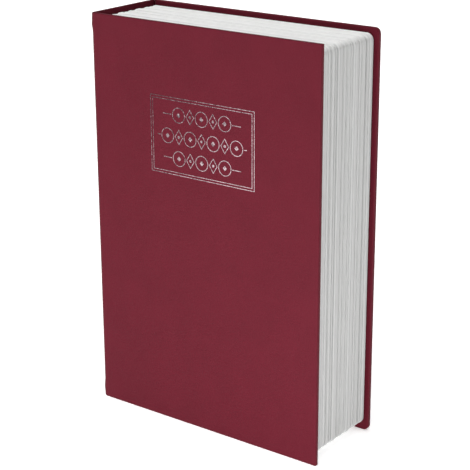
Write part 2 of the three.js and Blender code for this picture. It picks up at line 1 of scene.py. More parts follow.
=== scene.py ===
"""A safe hidden in a hardback book, dressed for a product picture.

The case of the book, its page block, its foil frame, the steel box and the lock are modelled here over
the fixed solids. Lengths are metres, in the frame of those solids: +Z up the book, -Y the front cover.
"""

import math
from contextlib import contextmanager

import bmesh
import bpy
from bpy.props import FloatProperty, FloatVectorProperty, IntProperty, PointerProperty
from mathutils import Matrix, Vector


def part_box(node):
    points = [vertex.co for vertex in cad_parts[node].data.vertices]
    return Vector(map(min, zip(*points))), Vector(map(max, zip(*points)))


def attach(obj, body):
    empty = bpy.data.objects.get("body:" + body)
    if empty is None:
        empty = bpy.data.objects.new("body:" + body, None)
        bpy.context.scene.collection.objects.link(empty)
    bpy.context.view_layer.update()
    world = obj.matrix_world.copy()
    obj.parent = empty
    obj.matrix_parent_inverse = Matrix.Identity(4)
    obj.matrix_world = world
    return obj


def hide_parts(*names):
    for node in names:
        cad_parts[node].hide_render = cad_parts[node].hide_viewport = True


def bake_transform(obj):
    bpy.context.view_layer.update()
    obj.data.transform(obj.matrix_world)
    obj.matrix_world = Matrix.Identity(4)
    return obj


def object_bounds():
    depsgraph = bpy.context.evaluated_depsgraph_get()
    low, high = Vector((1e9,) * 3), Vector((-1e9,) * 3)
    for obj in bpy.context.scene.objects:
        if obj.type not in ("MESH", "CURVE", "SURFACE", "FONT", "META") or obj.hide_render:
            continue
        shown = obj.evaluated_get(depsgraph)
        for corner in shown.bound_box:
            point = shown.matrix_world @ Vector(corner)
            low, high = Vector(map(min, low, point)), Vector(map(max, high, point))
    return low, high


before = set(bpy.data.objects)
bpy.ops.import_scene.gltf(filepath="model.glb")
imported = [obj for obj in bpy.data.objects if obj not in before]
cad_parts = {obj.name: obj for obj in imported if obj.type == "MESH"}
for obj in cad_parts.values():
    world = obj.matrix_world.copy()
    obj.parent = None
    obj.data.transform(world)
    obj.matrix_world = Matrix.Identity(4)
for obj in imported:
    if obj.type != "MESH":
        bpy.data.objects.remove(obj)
solid_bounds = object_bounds()

bl_info = {
    "name": "Book Safe",
    "version": (1, 0, 0),
    "blender": (4, 5, 0),
    "location": "View3D > Sidebar > Book Safe",
    "description": "Builds the case, page block, foil, steel box and lock of a book safe",
    "category": "Object",
}

MM = 0.001
NEAR = 0.01 * MM
PAST = 1 * MM  # how far a cutter reaches past what it cuts
SEAM = 0.05 * MM  # between two solids that are fixed to each other
BITE = 0.05 * MM  # how far the joined parts of one piece reach into each other
FACING, ACROSS = 0.9, 0.1  # a normal along an axis passes the first, one across it not the second
WELD = 0.001 * MM  # points that lie closer than this are one
LAP = 0.11 * MM  # how far the paper is drawn over a board's end at a fold

# Places that the solids give
book_low, book_high = solid_bounds
joint_low, joint_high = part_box("front_joint_paper")
cover_low, cover_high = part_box("front_cover_paper")
spine_low, spine_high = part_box("spine_paper")
block_low, block_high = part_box("page_block")
tray_low, tray_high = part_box("steel_tray")
lid_low, lid_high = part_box("lid_panel")
plate_low, plate_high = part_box("escutcheon")
knob_low, knob_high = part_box("release_knob")
lock_low, lock_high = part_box("lock_case")
hinge_low, hinge_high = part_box("tray_hinge_leaf")
dial_boxes = [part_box(f"number_dial_{i}") for i in (1, 2, 3)]
lock_z = (plate_low.z + plate_high.z) / 2


def colour(code):
    """An sRGB hex colour as linear light, with alpha."""
    channels = [int(code[i:i + 2], 16) / 255 for i in (0, 2, 4)]
    return (*[c / 12.92 if c <= 0.04045 else ((c + 0.055) / 1.055) ** 2.4 for c in channels], 1.0)


# Sizes and colours that a user may change

LENGTH = {"subtype": "DISTANCE", "unit": "LENGTH"}
POWER = {"subtype": "POWER", "unit": "POWER"}


class CaseSettings(bpy.types.PropertyGroup):
    """Covers, spine and foil."""

    paper: FloatProperty(
        name="Fold thickness", description="Covering paper and lining together at the fold",
        default=0.8 * MM, **LENGTH)
    front_corner: FloatProperty(
        name="Front corners", description="Rounding of the front cover's free corners",
        default=0.4 * MM, **LENGTH)
    back_corner: FloatProperty(
        name="Back corners", description="Rounding of the back cover's free corners",
        default=3.5 * MM, **LENGTH)
    fullness: FloatProperty(
        name="Fold fullness", description="How far the folds stand out over the turned-in paper",
        default=0.45 * MM, **LENGTH)
    edge: FloatProperty(
        name="Outer edges", description="Rounding where the paper turns over a board",
        default=0.35 * MM, **LENGTH)
    inner_edge: FloatProperty(
        name="Inner edges", description="Rounding of the boards' edges toward the pages",
        default=0.8 * MM, **LENGTH)
    turn_in: FloatProperty(
        name="Turn-in", description="How far the paper is turned over the inside of a board",
        default=12 * MM, **LENGTH)
    colour: FloatVectorProperty(
        name="Cover colour", description="Leather-grained covering paper",
        default=colour("5d1624")[:3], subtype="COLOR", size=3)
    frame_width: FloatProperty(
        name="Frame width", description="Outer width of the foil frame on the front cover",
        default=73 * MM, **LENGTH)
    frame_height: FloatProperty(
        name="Frame height", description="Outer height of the foil frame",
        default=45 * MM, **LENGTH)
    frame_middle: FloatProperty(
        name="Frame place", description="Height of the frame's middle above the tail edge",
        default=176.2 * MM, **LENGTH)
    frame_side: FloatProperty(
        name="Frame offset", description="How far the frame's middle lies toward the fore-edge",
        default=1 * MM, **LENGTH)
    rule: FloatProperty(
        name="Rule width", description="Width of each of the frame's two foil rules",
        default=0.35 * MM, **LENGTH)
    rule_gap: FloatProperty(
        name="Rule gap", description="From the outer rule's edge to the inner rule's edge",
        default=1.5 * MM, **LENGTH)


class BlockSettings(bpy.types.PropertyGroup):
    """The moulded page block."""

    corner: FloatProperty(
        name="Fore-edge corners", description="Rounding of the block's two corners at the fore-edge",
        default=4.5 * MM, **LENGTH)
    spine_corner: FloatProperty(
        name="Spine corners", description="Rounding of the block's two corners at the spine",
        default=1.8 * MM, **LENGTH)
    groove: FloatProperty(
        name="Groove width", description="Width of the grooves between bundles of pages",
        default=0.6 * MM, **LENGTH)
    groove_depth: FloatProperty(
        name="Groove depth", description="Depth of the grooves under the outermost pages",
        default=1.1 * MM, **LENGTH)
    crest: FloatProperty(
        name="Crest rounding", description="Rounding of a bundle's edges, as a share of its width",
        default=0.3, min=0.05, max=0.45)
    border: FloatProperty(
        name="Border", description="Width of the block's front face round the steel box",
        default=9.8 * MM, **LENGTH)
    colour: FloatVectorProperty(
        name="Page colour", description="White moulded plastic",
        default=colour("f3f3f2")[:3], subtype="COLOR", size=3)


class LockSettings(bpy.types.PropertyGroup):
    """The steel box and the lock on its lid."""

    sheet: FloatProperty(
        name="Box sheet", description="Thickness of the steel of the box",
        default=0.8 * MM, **LENGTH)
    flange: FloatProperty(
        name="Flange", description="How far the walls of the box turn in at the top",
        default=7.2 * MM, **LENGTH)
    knuckles: IntProperty(
        name="Knuckles", description="Knuckles along the lid's hinge", default=7, min=3)
    positions: IntProperty(
        name="Numbers on a dial", description="Positions round each dial", default=10, min=2, max=10)
    wheel: FloatProperty(
        name="Wheel width", description="Width of a dial's numbered wheel",
        default=5.2 * MM, **LENGTH)
    number_height: FloatProperty(
        name="Number height", description="Height of the numbers on the dials",
        default=2.7 * MM, **LENGTH)
    scallop: FloatProperty(
        name="Scallop radius", description="Radius of the finger scallops between two numbers",
        default=1.2 * MM, **LENGTH)
    scallop_depth: FloatProperty(
        name="Scallop depth", description="How deep the scallops are cut into the wheel",
        default=0.4 * MM, **LENGTH)
    edge: FloatProperty(
        name="Edge", description="Rounding of the edges of sheet and plate",
        default=0.25 * MM, **LENGTH)


class StageSettings(bpy.types.PropertyGroup):
    """Floor, lights and camera."""

    camera_place: FloatVectorProperty(
        name="Camera", description="Where the camera stands",
        default=(0.4827, -0.6354, 0.3841), subtype="XYZ", unit="LENGTH", size=3)
    camera_aim: FloatVectorProperty(
        name="Aim", description="The direction that the camera looks in",
        default=(-0.5713, 0.7553, -0.3211), subtype="XYZ", size=3)
    camera_up: FloatVectorProperty(
        name="Up", description="The direction that is up in the picture",
        default=(-0.1903, 0.2587, 0.947), subtype="XYZ", size=3)
    lens: FloatProperty(
        name="Lens", description="Focal length on a sensor 36 mm wide",
        default=110.45, subtype="DISTANCE_CAMERA", unit="CAMERA")
    low: FloatProperty(
        name="Low light", description="Power of the low light in front of the cover",
        default=3.65, **POWER)
    foot: FloatProperty(
        name="Foot light", description="Power of the light at the foot of the book",
        default=0.17, **POWER)
    table: FloatProperty(
        name="Table light", description="Strength of the light that comes through the table", default=0.42)
    horizon: FloatProperty(
        name="Horizon", description="Strength of the white surround near the horizon", default=1.03)
    sky: FloatProperty(
        name="Sky", description="Strength of the white surround above the horizon", default=0.12)
    cap: FloatProperty(
        name="Overhead light", description="Strength of the broad light overhead", default=2.8)
    cap_place: FloatVectorProperty(
        name="Overhead place", description="Direction in which the overhead light stands",
        default=(-0.14, -0.12, 0.983), subtype="XYZ", size=3)


SETTINGS = {
    "book_case": CaseSettings,
    "book_block": BlockSettings,
    "book_lock": LockSettings,
    "book_stage": StageSettings,
}


# Materials: each maker adds its nodes, and returns the shader's own settings and what feeds the shader

SHARE, FIRST, SECOND = 0, 6, 7  # inputs of a Mix node that mixes two colours


def shade(tint, factor):
    """A linear colour made darker or lighter."""
    return (*[min(1.0, channel * factor) for channel in tint[:3]], 1.0)


def add_node(tree, kind, settings=None, links=None):
    """A shader node with its settings, attributes or input values, fed by other nodes or sockets."""
    node = tree.nodes.new("ShaderNode" + kind)
    for key, value in (settings or {}).items():
        if isinstance(key, str) and hasattr(node, key):
            setattr(node, key, value)
        else:
            node.inputs[key].default_value = value
    for key, source in (links or {}).items():
        if isinstance(source, bpy.types.Node):
            source = next(socket for socket in source.outputs if socket.enabled)
        tree.links.new(source, node.inputs[key])
    return node


def two_tones(tree, pattern, dark, light, span=(0.35, 0.65)):
    """A colour that goes from one tone to another where a pattern crosses a span."""
    share = add_node(tree, "MapRange", {"From Min": span[0], "From Max": span[1]}, {"Value": pattern})
    return add_node(tree, "Mix", {"data_type": "RGBA", FIRST: dark, SECOND: light}, {SHARE: share})


def relief(tree, pattern, gloss, depth, strength, under=None):
    """A roughness between two values, and a bump that may lie over another one, from one pattern."""
    rough = add_node(
        tree, "MapRange", {"From Min": 0.3, "From Max": 0.7, "To Min": gloss[0], "To Max": gloss[1]},
        {"Value": pattern})
    links = {"Height": pattern, "Normal": under} if under else {"Height": pattern}
    bump = add_node(tree, "Bump", {"Distance": depth, "Strength": strength}, links)
    return {"Roughness": rough, "Normal": bump}


def burgundy_leatherette(tree, place):
    """Vinyl-coated covering paper, embossed as leather."""
    # A dull skin of tiny pebbles, with faint clouds of tone
    tint = bpy.context.scene.book_case.colour
    clouds = add_node(tree, "TexNoise", {"Scale": 1 / (18 * MM), "Detail": 5}, {"Vector": place})
    tone = two_tones(tree, clouds, shade(tint, 0.967), shade(tint, 1.033))
    creases = add_node(
        tree, "TexNoise", {"Scale": 1 / (0.9 * MM), "Detail": 6, "Roughness": 0.6}, {"Vector": place})
    pebbles = add_node(
        tree, "TexVoronoi", {"feature": "SMOOTH_F1", "Scale": 1 / (0.55 * MM), "Smoothness": 0.4},
        {"Vector": place})
    skin = relief(tree, creases, (0.5, 0.62), 0.08 * MM, 0.8)
    grain = add_node(
        tree, "Bump", {"Distance": 0.1 * MM, "Strength": 0.8},
        {"Height": pebbles, "Normal": skin["Normal"]})
    return {"IOR": 1.52, "Specular IOR Level": 0.08}, {**skin, "Base Color": tone, "Normal": grain}


def burgundy_turn_in(tree, place):
    """The same paper where it is turned in over a board."""
    # Duller, blotched with dried paste, and a little darker than the outside on average: painted shade for
    # the inside of the case
    tint = bpy.context.scene.book_case.colour
    creases = add_node(
        tree, "TexNoise", {"Scale": 1 / (0.9 * MM), "Detail": 6, "Roughness": 0.6}, {"Vector": place})
    tone = two_tones(tree, creases, shade(tint, 0.87), shade(tint, 1.09))
    grain = add_node(tree, "Bump", {"Distance": 0.05 * MM, "Strength": 0.4}, {"Height": creases})
    return {"IOR": 1.52, "Roughness": 0.75, "Specular IOR Level": 0.1}, {
        "Base Color": tone, "Normal": grain}


def silver_foil(tree, place):
    """Aluminium foil, stamped hot into the covering paper."""
    # Worn through on the grain's low spots, and brighter toward the lower right: a painted sheen, a
    # reflection painted into its colour
    grain = add_node(
        tree, "TexNoise", {"Scale": 1 / (0.7 * MM), "Detail": 4, "Roughness": 0.6}, {"Vector": place})
    slant = add_node(tree, "VectorMath", {"operation": "DOT_PRODUCT", 1: (0.6, 0, -0.8)}, {0: place})
    # Painted sheen: a fixed brightening toward the lower right, added to the grain's wear
    painted_sheen = add_node(
        tree, "MapRange", {"From Min": -0.19, "From Max": -0.1, "To Min": -0.26, "To Max": 0.12},
        {"Value": slant})
    wear_and_sheen = add_node(tree, "Math", {"operation": "ADD"}, {0: grain, 1: painted_sheen})
    tone = two_tones(tree, wear_and_sheen, colour("40363a"), colour("bda9ad"), (0.3, 0.68))
    return {"Metallic": 1.0}, {"Base Color": tone, **relief(tree, grain, (0.25, 0.42), 0.04 * MM, 0.6)}


def white_page_plastic(tree, place):
    """White ABS, moulded with the look of page edges."""
    # Grey hairlines run down its matt sides, and its two ends are smooth. The sides are painted far darker
    # than the ends, as painted shade, so that the ends read paler, as if lit from above. A page is 0.1 mm
    # thick, too fine to show, so the hairlines are drawn 0.3 mm apart and their bands 1.3 mm
    tint = bpy.context.scene.book_block.colour
    along = add_node(tree, "Mapping", {"Scale": (0.0006, 1, 0.0006)}, {"Vector": place})
    hair = add_node(
        tree, "TexNoise", {"Scale": 1 / (0.3 * MM), "Detail": 3, "Roughness": 0.6}, {"Vector": along})
    bands = add_node(tree, "TexNoise", {"Scale": 1 / (1.3 * MM), "Detail": 3}, {"Vector": along})
    # Painted shade: the sides' two tones lie well below the page colour
    sides = two_tones(tree, bands, shade(tint, 0.455), shade(tint, 0.615), (0.38, 0.55))
    middle, half = (block_low.z + block_high.z) / 2, (block_high.z - block_low.z) / 2
    height = add_node(tree, "SeparateXYZ", None, {0: place}).outputs["Z"]
    offset = add_node(tree, "Math", {"operation": "SUBTRACT", 1: middle}, {0: height})
    reach = add_node(tree, "Math", {"operation": "ABSOLUTE"}, {0: offset})
    end = add_node(
        tree, "MapRange", {"From Min": half - 3 * MM, "From Max": half - 0.2 * MM}, {"Value": reach})
    # The ends take the full page colour, and the painted shade of the sides fades out toward them
    tone = add_node(tree, "Mix", {"data_type": "RGBA", SECOND: shade(tint, 1)}, {SHARE: end, FIRST: sides})
    ribs = add_node(tree, "Bump", {"Distance": 0.05 * MM, "Strength": 0.35}, {"Height": bands})
    return {"IOR": 1.54, "Specular IOR Level": 0.3}, {
        "Base Color": tone, **relief(tree, hair, (0.5, 0.62), 0.01 * MM, 0.4, ribs)}


def ivory_endpaper(tree, place):
    """Uncoated wood-free paper, pressed flat."""
    # Off-white with soft clouds, quite matt
    fibres = add_node(
        tree, "TexNoise", {"Scale": 1 / (0.5 * MM), "Detail": 6, "Roughness": 0.7}, {"Vector": place})
    clouds = add_node(tree, "TexNoise", {"Scale": 1 / (9 * MM), "Detail": 4}, {"Vector": place})
    tone = two_tones(tree, clouds, colour("ebe6da"), colour("f0ece2"))
    return {"IOR": 1.5}, {"Base Color": tone, **relief(tree, fibres, (0.8, 0.95), 0.03 * MM, 0.6)}


def grey_book_board(tree, place):
    """Board pressed from waste paper."""
    # Warm grey, flecked with darker fibres
    flecks = add_node(
        tree, "TexNoise", {"Scale": 1 / (1.1 * MM), "Detail": 7, "Roughness": 0.7}, {"Vector": place})
    tone = two_tones(tree, flecks, colour("7d7a73"), colour("989489"))
    return {"IOR": 1.5}, {"Base Color": tone, **relief(tree, flecks, (0.85, 0.97), 0.08 * MM, 0.6)}


def black_powder_coat(tree, place):
    """Polyester powder, sprayed on steel and baked."""
    # A fine orange-peel skin with a satin shine
    peel = add_node(tree, "TexNoise", {"Scale": 1 / (0.8 * MM), "Detail": 2}, {"Vector": place})
    cast = add_node(tree, "TexNoise", {"Scale": 1 / (30 * MM), "Detail": 3}, {"Vector": place})
    tone = two_tones(tree, cast, colour("131416"), colour("1b1c1f"))
    return {"IOR": 1.5, "Specular IOR Level": 0.32}, {
        "Base Color": tone, **relief(tree, peel, (0.36, 0.5), 0.06 * MM, 0.6)}


def bright_zinc(tree, place):
    """Zinc, plated on pressed steel."""
    # Cool grey with a faint haze from the bath
    haze = add_node(tree, "TexNoise", {"Scale": 1 / (2.5 * MM), "Detail": 4}, {"Vector": place})
    tone = two_tones(tree, haze, colour("989da3"), colour("b9bdc1"))
    return {"Metallic": 1.0}, {"Base Color": tone, **relief(tree, haze, (0.28, 0.42), 0.03 * MM, 0.4)}


def satin_chrome(tree, place):
    """Chrome, plated on a face brushed along X."""
    # Long hairlines soften the reflections. The brush leaves lines 0.03 mm wide, too fine to show, so
    # they are drawn 0.15 mm wide
    brushed = add_node(tree, "Mapping", {"Scale": (0.02, 1, 1)}, {"Vector": place})
    hairlines = add_node(
        tree, "TexNoise", {"Scale": 1 / (0.15 * MM), "Detail": 3, "Roughness": 0.6}, {"Vector": brushed})
    tone = two_tones(tree, hairlines, colour("7b7e83"), colour("989b9f"))
    return {"Metallic": 1.0}, {"Base Color": tone, **relief(tree, hairlines, (0.3, 0.44), 0.01 * MM, 0.5)}


def moulded_plastic(tree, place, dark, light, matt):
    """ABS from a spark-eroded mould."""
    # A faint flow of tone. The mould's texture is 0.05 mm wide, too fine to show, so it is drawn 0.25 mm
    flow = add_node(tree, "TexNoise", {"Scale": 1 / (4 * MM), "Detail": 3}, {"Vector": place})
    sparks = add_node(tree, "TexNoise", {"Scale": 1 / (0.25 * MM), "Detail": 2}, {"Vector": place})
    tone = two_tones(tree, flow, colour(dark), colour(light))
    return {"IOR": 1.54}, {
        "Base Color": tone, **relief(tree, sparks, (matt - 0.05, matt + 0.07), 0.01 * MM, 0.6)}


def black_lock_plastic(tree, place):
    """Black ABS for the lock's case."""
    return moulded_plastic(tree, place, "141516", "1c1d1f", 0.45)


def white_dial_plastic(tree, place):
    """White ABS for the dials, glossier than the case."""
    return moulded_plastic(tree, place, "e2e1dc", "eceae6", 0.3)


def black_number_ink(tree, place):
    """Pad-printed ink, a little more matt than the plastic that carries it."""
    return moulded_plastic(tree, place, "0c0c0d", "161617", 0.5)


def opal_acrylic(tree, place):
    """The cast acrylic sheet of a product table, lit from below."""
    # White and quite matt, and its own light keeps the shadows on it pale
    cast = add_node(tree, "TexNoise", {"Scale": 1 / (60 * MM), "Detail": 3}, {"Vector": place})
    tone = two_tones(tree, cast, colour("fbfbfb"), colour("fcfcfc"), (0, 1))
    glow = {"Emission Color": (1, 1, 1, 1), "Emission Strength": bpy.context.scene.book_stage.table}
    return {"IOR": 1.49, "Roughness": 0.9, "Specular IOR Level": 0.1, **glow}, {"Base Color": tone}


MAKERS = (
    burgundy_leatherette, burgundy_turn_in, silver_foil, white_page_plastic, ivory_endpaper,
    grey_book_board, black_powder_coat, bright_zinc, satin_chrome, black_lock_plastic,
    white_dial_plastic, black_number_ink, opal_acrylic,
)


def finish(name):
    """The material of that name, made the first time it is asked for."""
    if name in bpy.data.materials:
        return bpy.data.materials[name]
    material = bpy.data.materials.new(name)
    material.use_nodes = True
    tree = material.node_tree
    tree.nodes.clear()
    place = add_node(tree, "TexCoord").outputs["Object"]
    maker = next(maker for maker in MAKERS if maker.__name__ == name)
    shader = add_node(tree, "BsdfPrincipled", *maker(tree, place))
    add_node(tree, "OutputMaterial", None, {"Surface": shader})
    return material


def dress(node, name):
    """Gives a solid that stays as it is its material."""
    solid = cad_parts[node]
    solid.data.materials.clear()
    solid.data.materials.append(finish(name))


# Modelling

def deselect():
    """Nothing is selected, so that the next operator acts on its own piece alone."""
    bpy.ops.object.select_all(action="DESELECT")


def pick(piece):
    """That piece alone is selected and active."""
    deselect()
    piece.select_set(True)
    bpy.context.view_layer.objects.active = piece


def add_box(name, low, high):
    """A box from one corner to the other, with its place in its mesh."""
    low, high = Vector(low), Vector(high)
    deselect()
    bpy.ops.mesh.primitive_cube_add(size=1, location=(low + high) / 2, scale=high - low)
    return settle(name)


TURNS = {"X": (0, math.radians(90), 0), "Y": (math.radians(90), 0, 0), "Z": (0, 0, 0)}


def add_rod(name, axis, start, end, radius, centre, sides=64):
    """A cylinder along one axis, from start to end, round a line through centre."""
    place = Vector(centre)
    place["XYZ".index(axis)] = (start + end) / 2
    deselect()
    bpy.ops.mesh.primitive_cylinder_add(
        vertices=sides, radius=radius, depth=end - start, location=place, rotation=TURNS[axis])
    return settle(name)


def settle(name):
    """Names the active piece and puts its place, turn and size into its mesh."""
    piece = bpy.context.active_object
    piece.name = name
    pick(piece)
    bpy.ops.object.transform_apply(location=True, rotation=True, scale=True)
    return piece


@contextmanager
def editing(piece):
    """Edit mode on one piece, with nothing selected."""
    pick(piece)
    bpy.ops.object.mode_set(mode="EDIT")
    bpy.ops.mesh.select_all(action="DESELECT")
    yield
    bpy.ops.object.mode_set(mode="OBJECT")


def select_faces(piece, test):
    """In edit mode, selects just the faces whose middle and normal pass the test."""
    bpy.ops.mesh.select_mode(type="FACE")
    mesh = bmesh.from_edit_mesh(piece.data)
    for face in mesh.faces:
        face.select_set(bool(test(face.calc_center_median(), face.normal)))
    mesh.select_flush_mode()
    bmesh.update_edit_mesh(piece.data)


def select_edges(piece, test):
    """In edit mode, selects just the edges whose two ends pass the test."""
    bpy.ops.mesh.select_mode(type="EDGE")
    mesh = bmesh.from_edit_mesh(piece.data)
    for face in mesh.faces:
        face.select_set(False)
    for edge in mesh.edges:
        edge.select_set(bool(test(edge.verts[0].co, edge.verts[1].co)))
    bmesh.update_edit_mesh(piece.data)


def select_points(piece, test):
    """In edit mode, selects just the points whose place passes the test."""
    bpy.ops.mesh.select_all(action="DESELECT")
    bpy.ops.mesh.select_mode(type="VERT")
    mesh = bmesh.from_edit_mesh(piece.data)
    for vertex in mesh.verts:
        vertex.select_set(bool(test(vertex.co)))
    mesh.select_flush_mode()
    bmesh.update_edit_mesh(piece.data)


def drop_edges(piece, test):
    """In edit mode, drops from the selected edges those whose two ends pass the test."""
    mesh = bmesh.from_edit_mesh(piece.data)
    kept = [edge for edge in mesh.edges if edge.select and not test(edge.verts[0].co, edge.verts[1].co)]
    for edge in mesh.edges:
        edge.select_set(False)
    for edge in kept:
        edge.select_set(True)
    bmesh.update_edit_mesh(piece.data)


def bevel_edges(offset, segments):
    """Rounds the selected edges."""
    bpy.ops.mesh.bevel(offset=offset, segments=segments, affect="EDGES", profile=0.5)


def move_out(vector):
    """Extrudes the selected faces by a vector."""
    bpy.ops.mesh.extrude_region_move(TRANSFORM_OT_translate={"value": vector})


def apply_modifier(piece, kind, **settings):
    """Adds a modifier to the piece and applies it."""
    pick(piece)
    modifier = piece.modifiers.new(kind.title(), kind)
    for key, value in settings.items():
        setattr(modifier, key, value)
    bpy.ops.object.modifier_apply(modifier=modifier.name)


def cut(piece, *cutters):
    """Cuts pieces out of another one and deletes them."""
    for cutter in cutters:
        apply_modifier(piece, "BOOLEAN", operation="DIFFERENCE", solver="EXACT", object=cutter)
        bpy.data.objects.remove(cutter)


def round_edges(piece, width, segments=2, angle=30):
    """Rounds every edge that is sharper than the angle."""
    apply_modifier(
        piece, "BEVEL", width=width, segments=segments, limit_method="ANGLE",
        angle_limit=math.radians(angle))


def round_along_y(piece, radius, segments=6):
    """Rounds the edges of a box that run along Y."""
    with editing(piece):
        select_edges(piece, along_y)
        bevel_edges(radius, segments)


def round_rim(piece, test, width, segments):
    """Rounds the edge round the faces that pass the test."""
    with editing(piece):
        select_faces(piece, test)
        bpy.ops.mesh.region_to_loop()
        bevel_edges(width, segments)


def copy_piece(piece, name, offset):
    """A copy of a piece with its own mesh, moved in its mesh."""
    twin = piece.copy()
    twin.data = piece.data.copy()
    twin.data.transform(Matrix.Translation(offset))
    twin.name = name
    bpy.context.scene.collection.objects.link(twin)
    return twin


def join(name, pieces):
    """Several pieces as one."""
    deselect()
    for piece in pieces:
        piece.select_set(True)
    bpy.context.view_layer.objects.active = pieces[0]
    bpy.ops.object.join()
    pieces[0].name = name
    return pieces[0]


def complete(piece, material, body, angle=35):
    """Shading, material, slot and body of a finished piece, its flats shaded flat up to their edges."""
    pick(piece)
    bpy.ops.object.shade_smooth_by_angle(angle=math.radians(angle))
    apply_modifier(piece, "WEIGHTED_NORMAL", keep_sharp=True)
    piece.data.materials.clear()
    piece.data.materials.append(finish(material))
    if body:
        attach(piece, body)
    return piece


def same(a, b):
    """Two lengths are equal as far as the mesh can tell."""
    return abs(a - b) < NEAR


# The case: one skin over both covers, the spine and the two folds

STAYS_FULL, FULLY_DRAWN = 0.55, 0.9  # as shares of the turn-in, where a fold starts and ends to draw in
WINDOW_STEP = 0.36 * MM  # from the turned-in paper down to the board


def along_y(a, b):
    """An edge from a to b runs along Y."""
    return same(a.x, b.x) and same(a.z, b.z)


def is_spine_corner(a, b):
    """An upright edge at the back of the case."""
    return same(a.x, b.x) and same(a.y, b.y) and same(a.x, book_low.x)


def is_free_corner(a, b):
    """The edge through a cover at one of its two free corners."""
    at_end = same(a.z, book_low.z) or same(a.z, book_high.z)
    return along_y(a, b) and same(a.x, book_high.x) and at_end


def fold_case(sizes):
    """The covers and the spine as one bent sheet, with round folds."""
    case = add_box("leatherette_case", book_low, book_high)
    with editing(case):
        select_faces(case, lambda middle, normal: normal.x > FACING or abs(normal.z) > FACING)
        bpy.ops.mesh.delete(type="FACE")
        select_edges(case, is_spine_corner)
        bevel_edges(joint_high.x - joint_low.x, 10)
    apply_modifier(case, "SOLIDIFY", thickness=sizes.paper, offset=-1)
    return case


def draw_in_folds(case, sizes):
    """Draws the folds in a little; over the turned-in paper near their ends they stay full."""
    radius = joint_high.x - joint_low.x
    full, drawn = STAYS_FULL * sizes.turn_in, FULLY_DRAWN * sizes.turn_in
    low_full, high_full = book_low.z + full, book_high.z - full
    with editing(case):
        for z in (low_full, book_low.z + drawn, book_high.z - drawn, high_full):
            bpy.ops.mesh.select_all(action="SELECT")
            bpy.ops.mesh.bisect(plane_co=(0, 0, z), plane_no=(0, 0, 1))
        select_points(case, lambda place: (
            low_full + NEAR < place.z < high_full - NEAR and is_on_fold(place, radius)))
        bpy.ops.transform.shrink_fatten(value=-sizes.fullness)
        step = 0.5 * sizes.fullness
        for side in (-1, 1):
            select_points(case, lambda place: (
                place.y * side > 0 and not book_low.z + NEAR < place.z < book_high.z - NEAR
                and is_on_fold(place, radius)))
            bpy.ops.transform.translate(value=(step, -side * step, 0))


def is_on_fold(place, radius):
    """A point on the outer round of a fold, off its two ends."""
    x = place.x - joint_high.x
    y = abs(place.y) - (book_high.y - radius)
    return x < -NEAR and y > NEAR and same(math.hypot(x, y), radius)


def thicken_boards(case, sizes):
    """The board under each flat of the sheet, as deep as the covering paper's turned-in edge."""
    depth = cover_high.y - cover_low.y - sizes.paper
    spine_depth = spine_high.x - spine_low.x - sizes.paper
    inside_y = book_high.y - sizes.paper
    inside_x = book_low.x + sizes.paper
    joint_depth = book_high.y - (joint_high.x - joint_low.x)
    with editing(case):
        select_faces(case, lambda middle, normal: normal.y > FACING and same(middle.y, -inside_y))
        move_out((0, depth, 0))
        select_faces(case, lambda middle, normal: normal.y < -FACING and same(middle.y, inside_y))
        move_out((0, -depth, 0))
        select_faces(case, lambda middle, normal: normal.x > FACING and same(middle.x, inside_x))
        move_out((spine_depth, 0, 0))
        select_points(case, lambda place: (
            abs(place.x - joint_high.x) < 2 * LAP and abs(place.y) < book_high.y - NEAR))
        bpy.ops.transform.translate(value=(-LAP, 0, 0))
        for side in (-1, 1):
            select_points(case, lambda place: (
                abs(place.y * side - joint_depth) < 2 * LAP
                and book_low.x + NEAR < place.x < joint_high.x - MM))
            bpy.ops.transform.translate(value=(0, side * LAP, 0))


def round_case(case, sizes):
    """Rounds the free corners, and the free edges of the outer and inner faces."""
    skin_x = joint_high.x
    depth = cover_high.y - cover_low.y
    with editing(case):
        for side, radius in ((-1, sizes.front_corner), (1, sizes.back_corner)):
            select_edges(case, lambda a, b: is_free_corner(a, b) and a.y * side > 0)
            bevel_edges(radius, 8)
        select_faces(case, lambda middle, normal: is_outside(middle, normal))
        bpy.ops.mesh.region_to_loop()
        bevel_edges(sizes.edge, 3)
        for side in (-1, 1):
            face_y = side * (book_high.y - depth)
            select_faces(case, lambda middle, normal: same(middle.y, face_y) and middle.x > skin_x)
            bpy.ops.mesh.region_to_loop()
            drop_edges(case, lambda a, b: max(a.x, b.x) < skin_x + LAP)
            bevel_edges(sizes.inner_edge, 5)


def is_outside(middle, normal):
    """A face of the outer skin: a flat of a cover or the spine, or a strip of a round fold."""
    flat = same(middle.x, book_low.x) or same(abs(middle.y), book_high.y)
    corner_x, corner_y = joint_high.x, book_high.y - (joint_high.x - joint_low.x)
    out_of_fold = Vector((middle.x - corner_x, abs(middle.y) - corner_y, 0))
    in_fold = middle.x < corner_x and abs(middle.y) > corner_y
    outward = Vector((normal.x, normal.y * math.copysign(1, middle.y), 0))
    return flat or (in_fold and abs(normal.z) < ACROSS and out_of_fold.dot(outward) > 0)


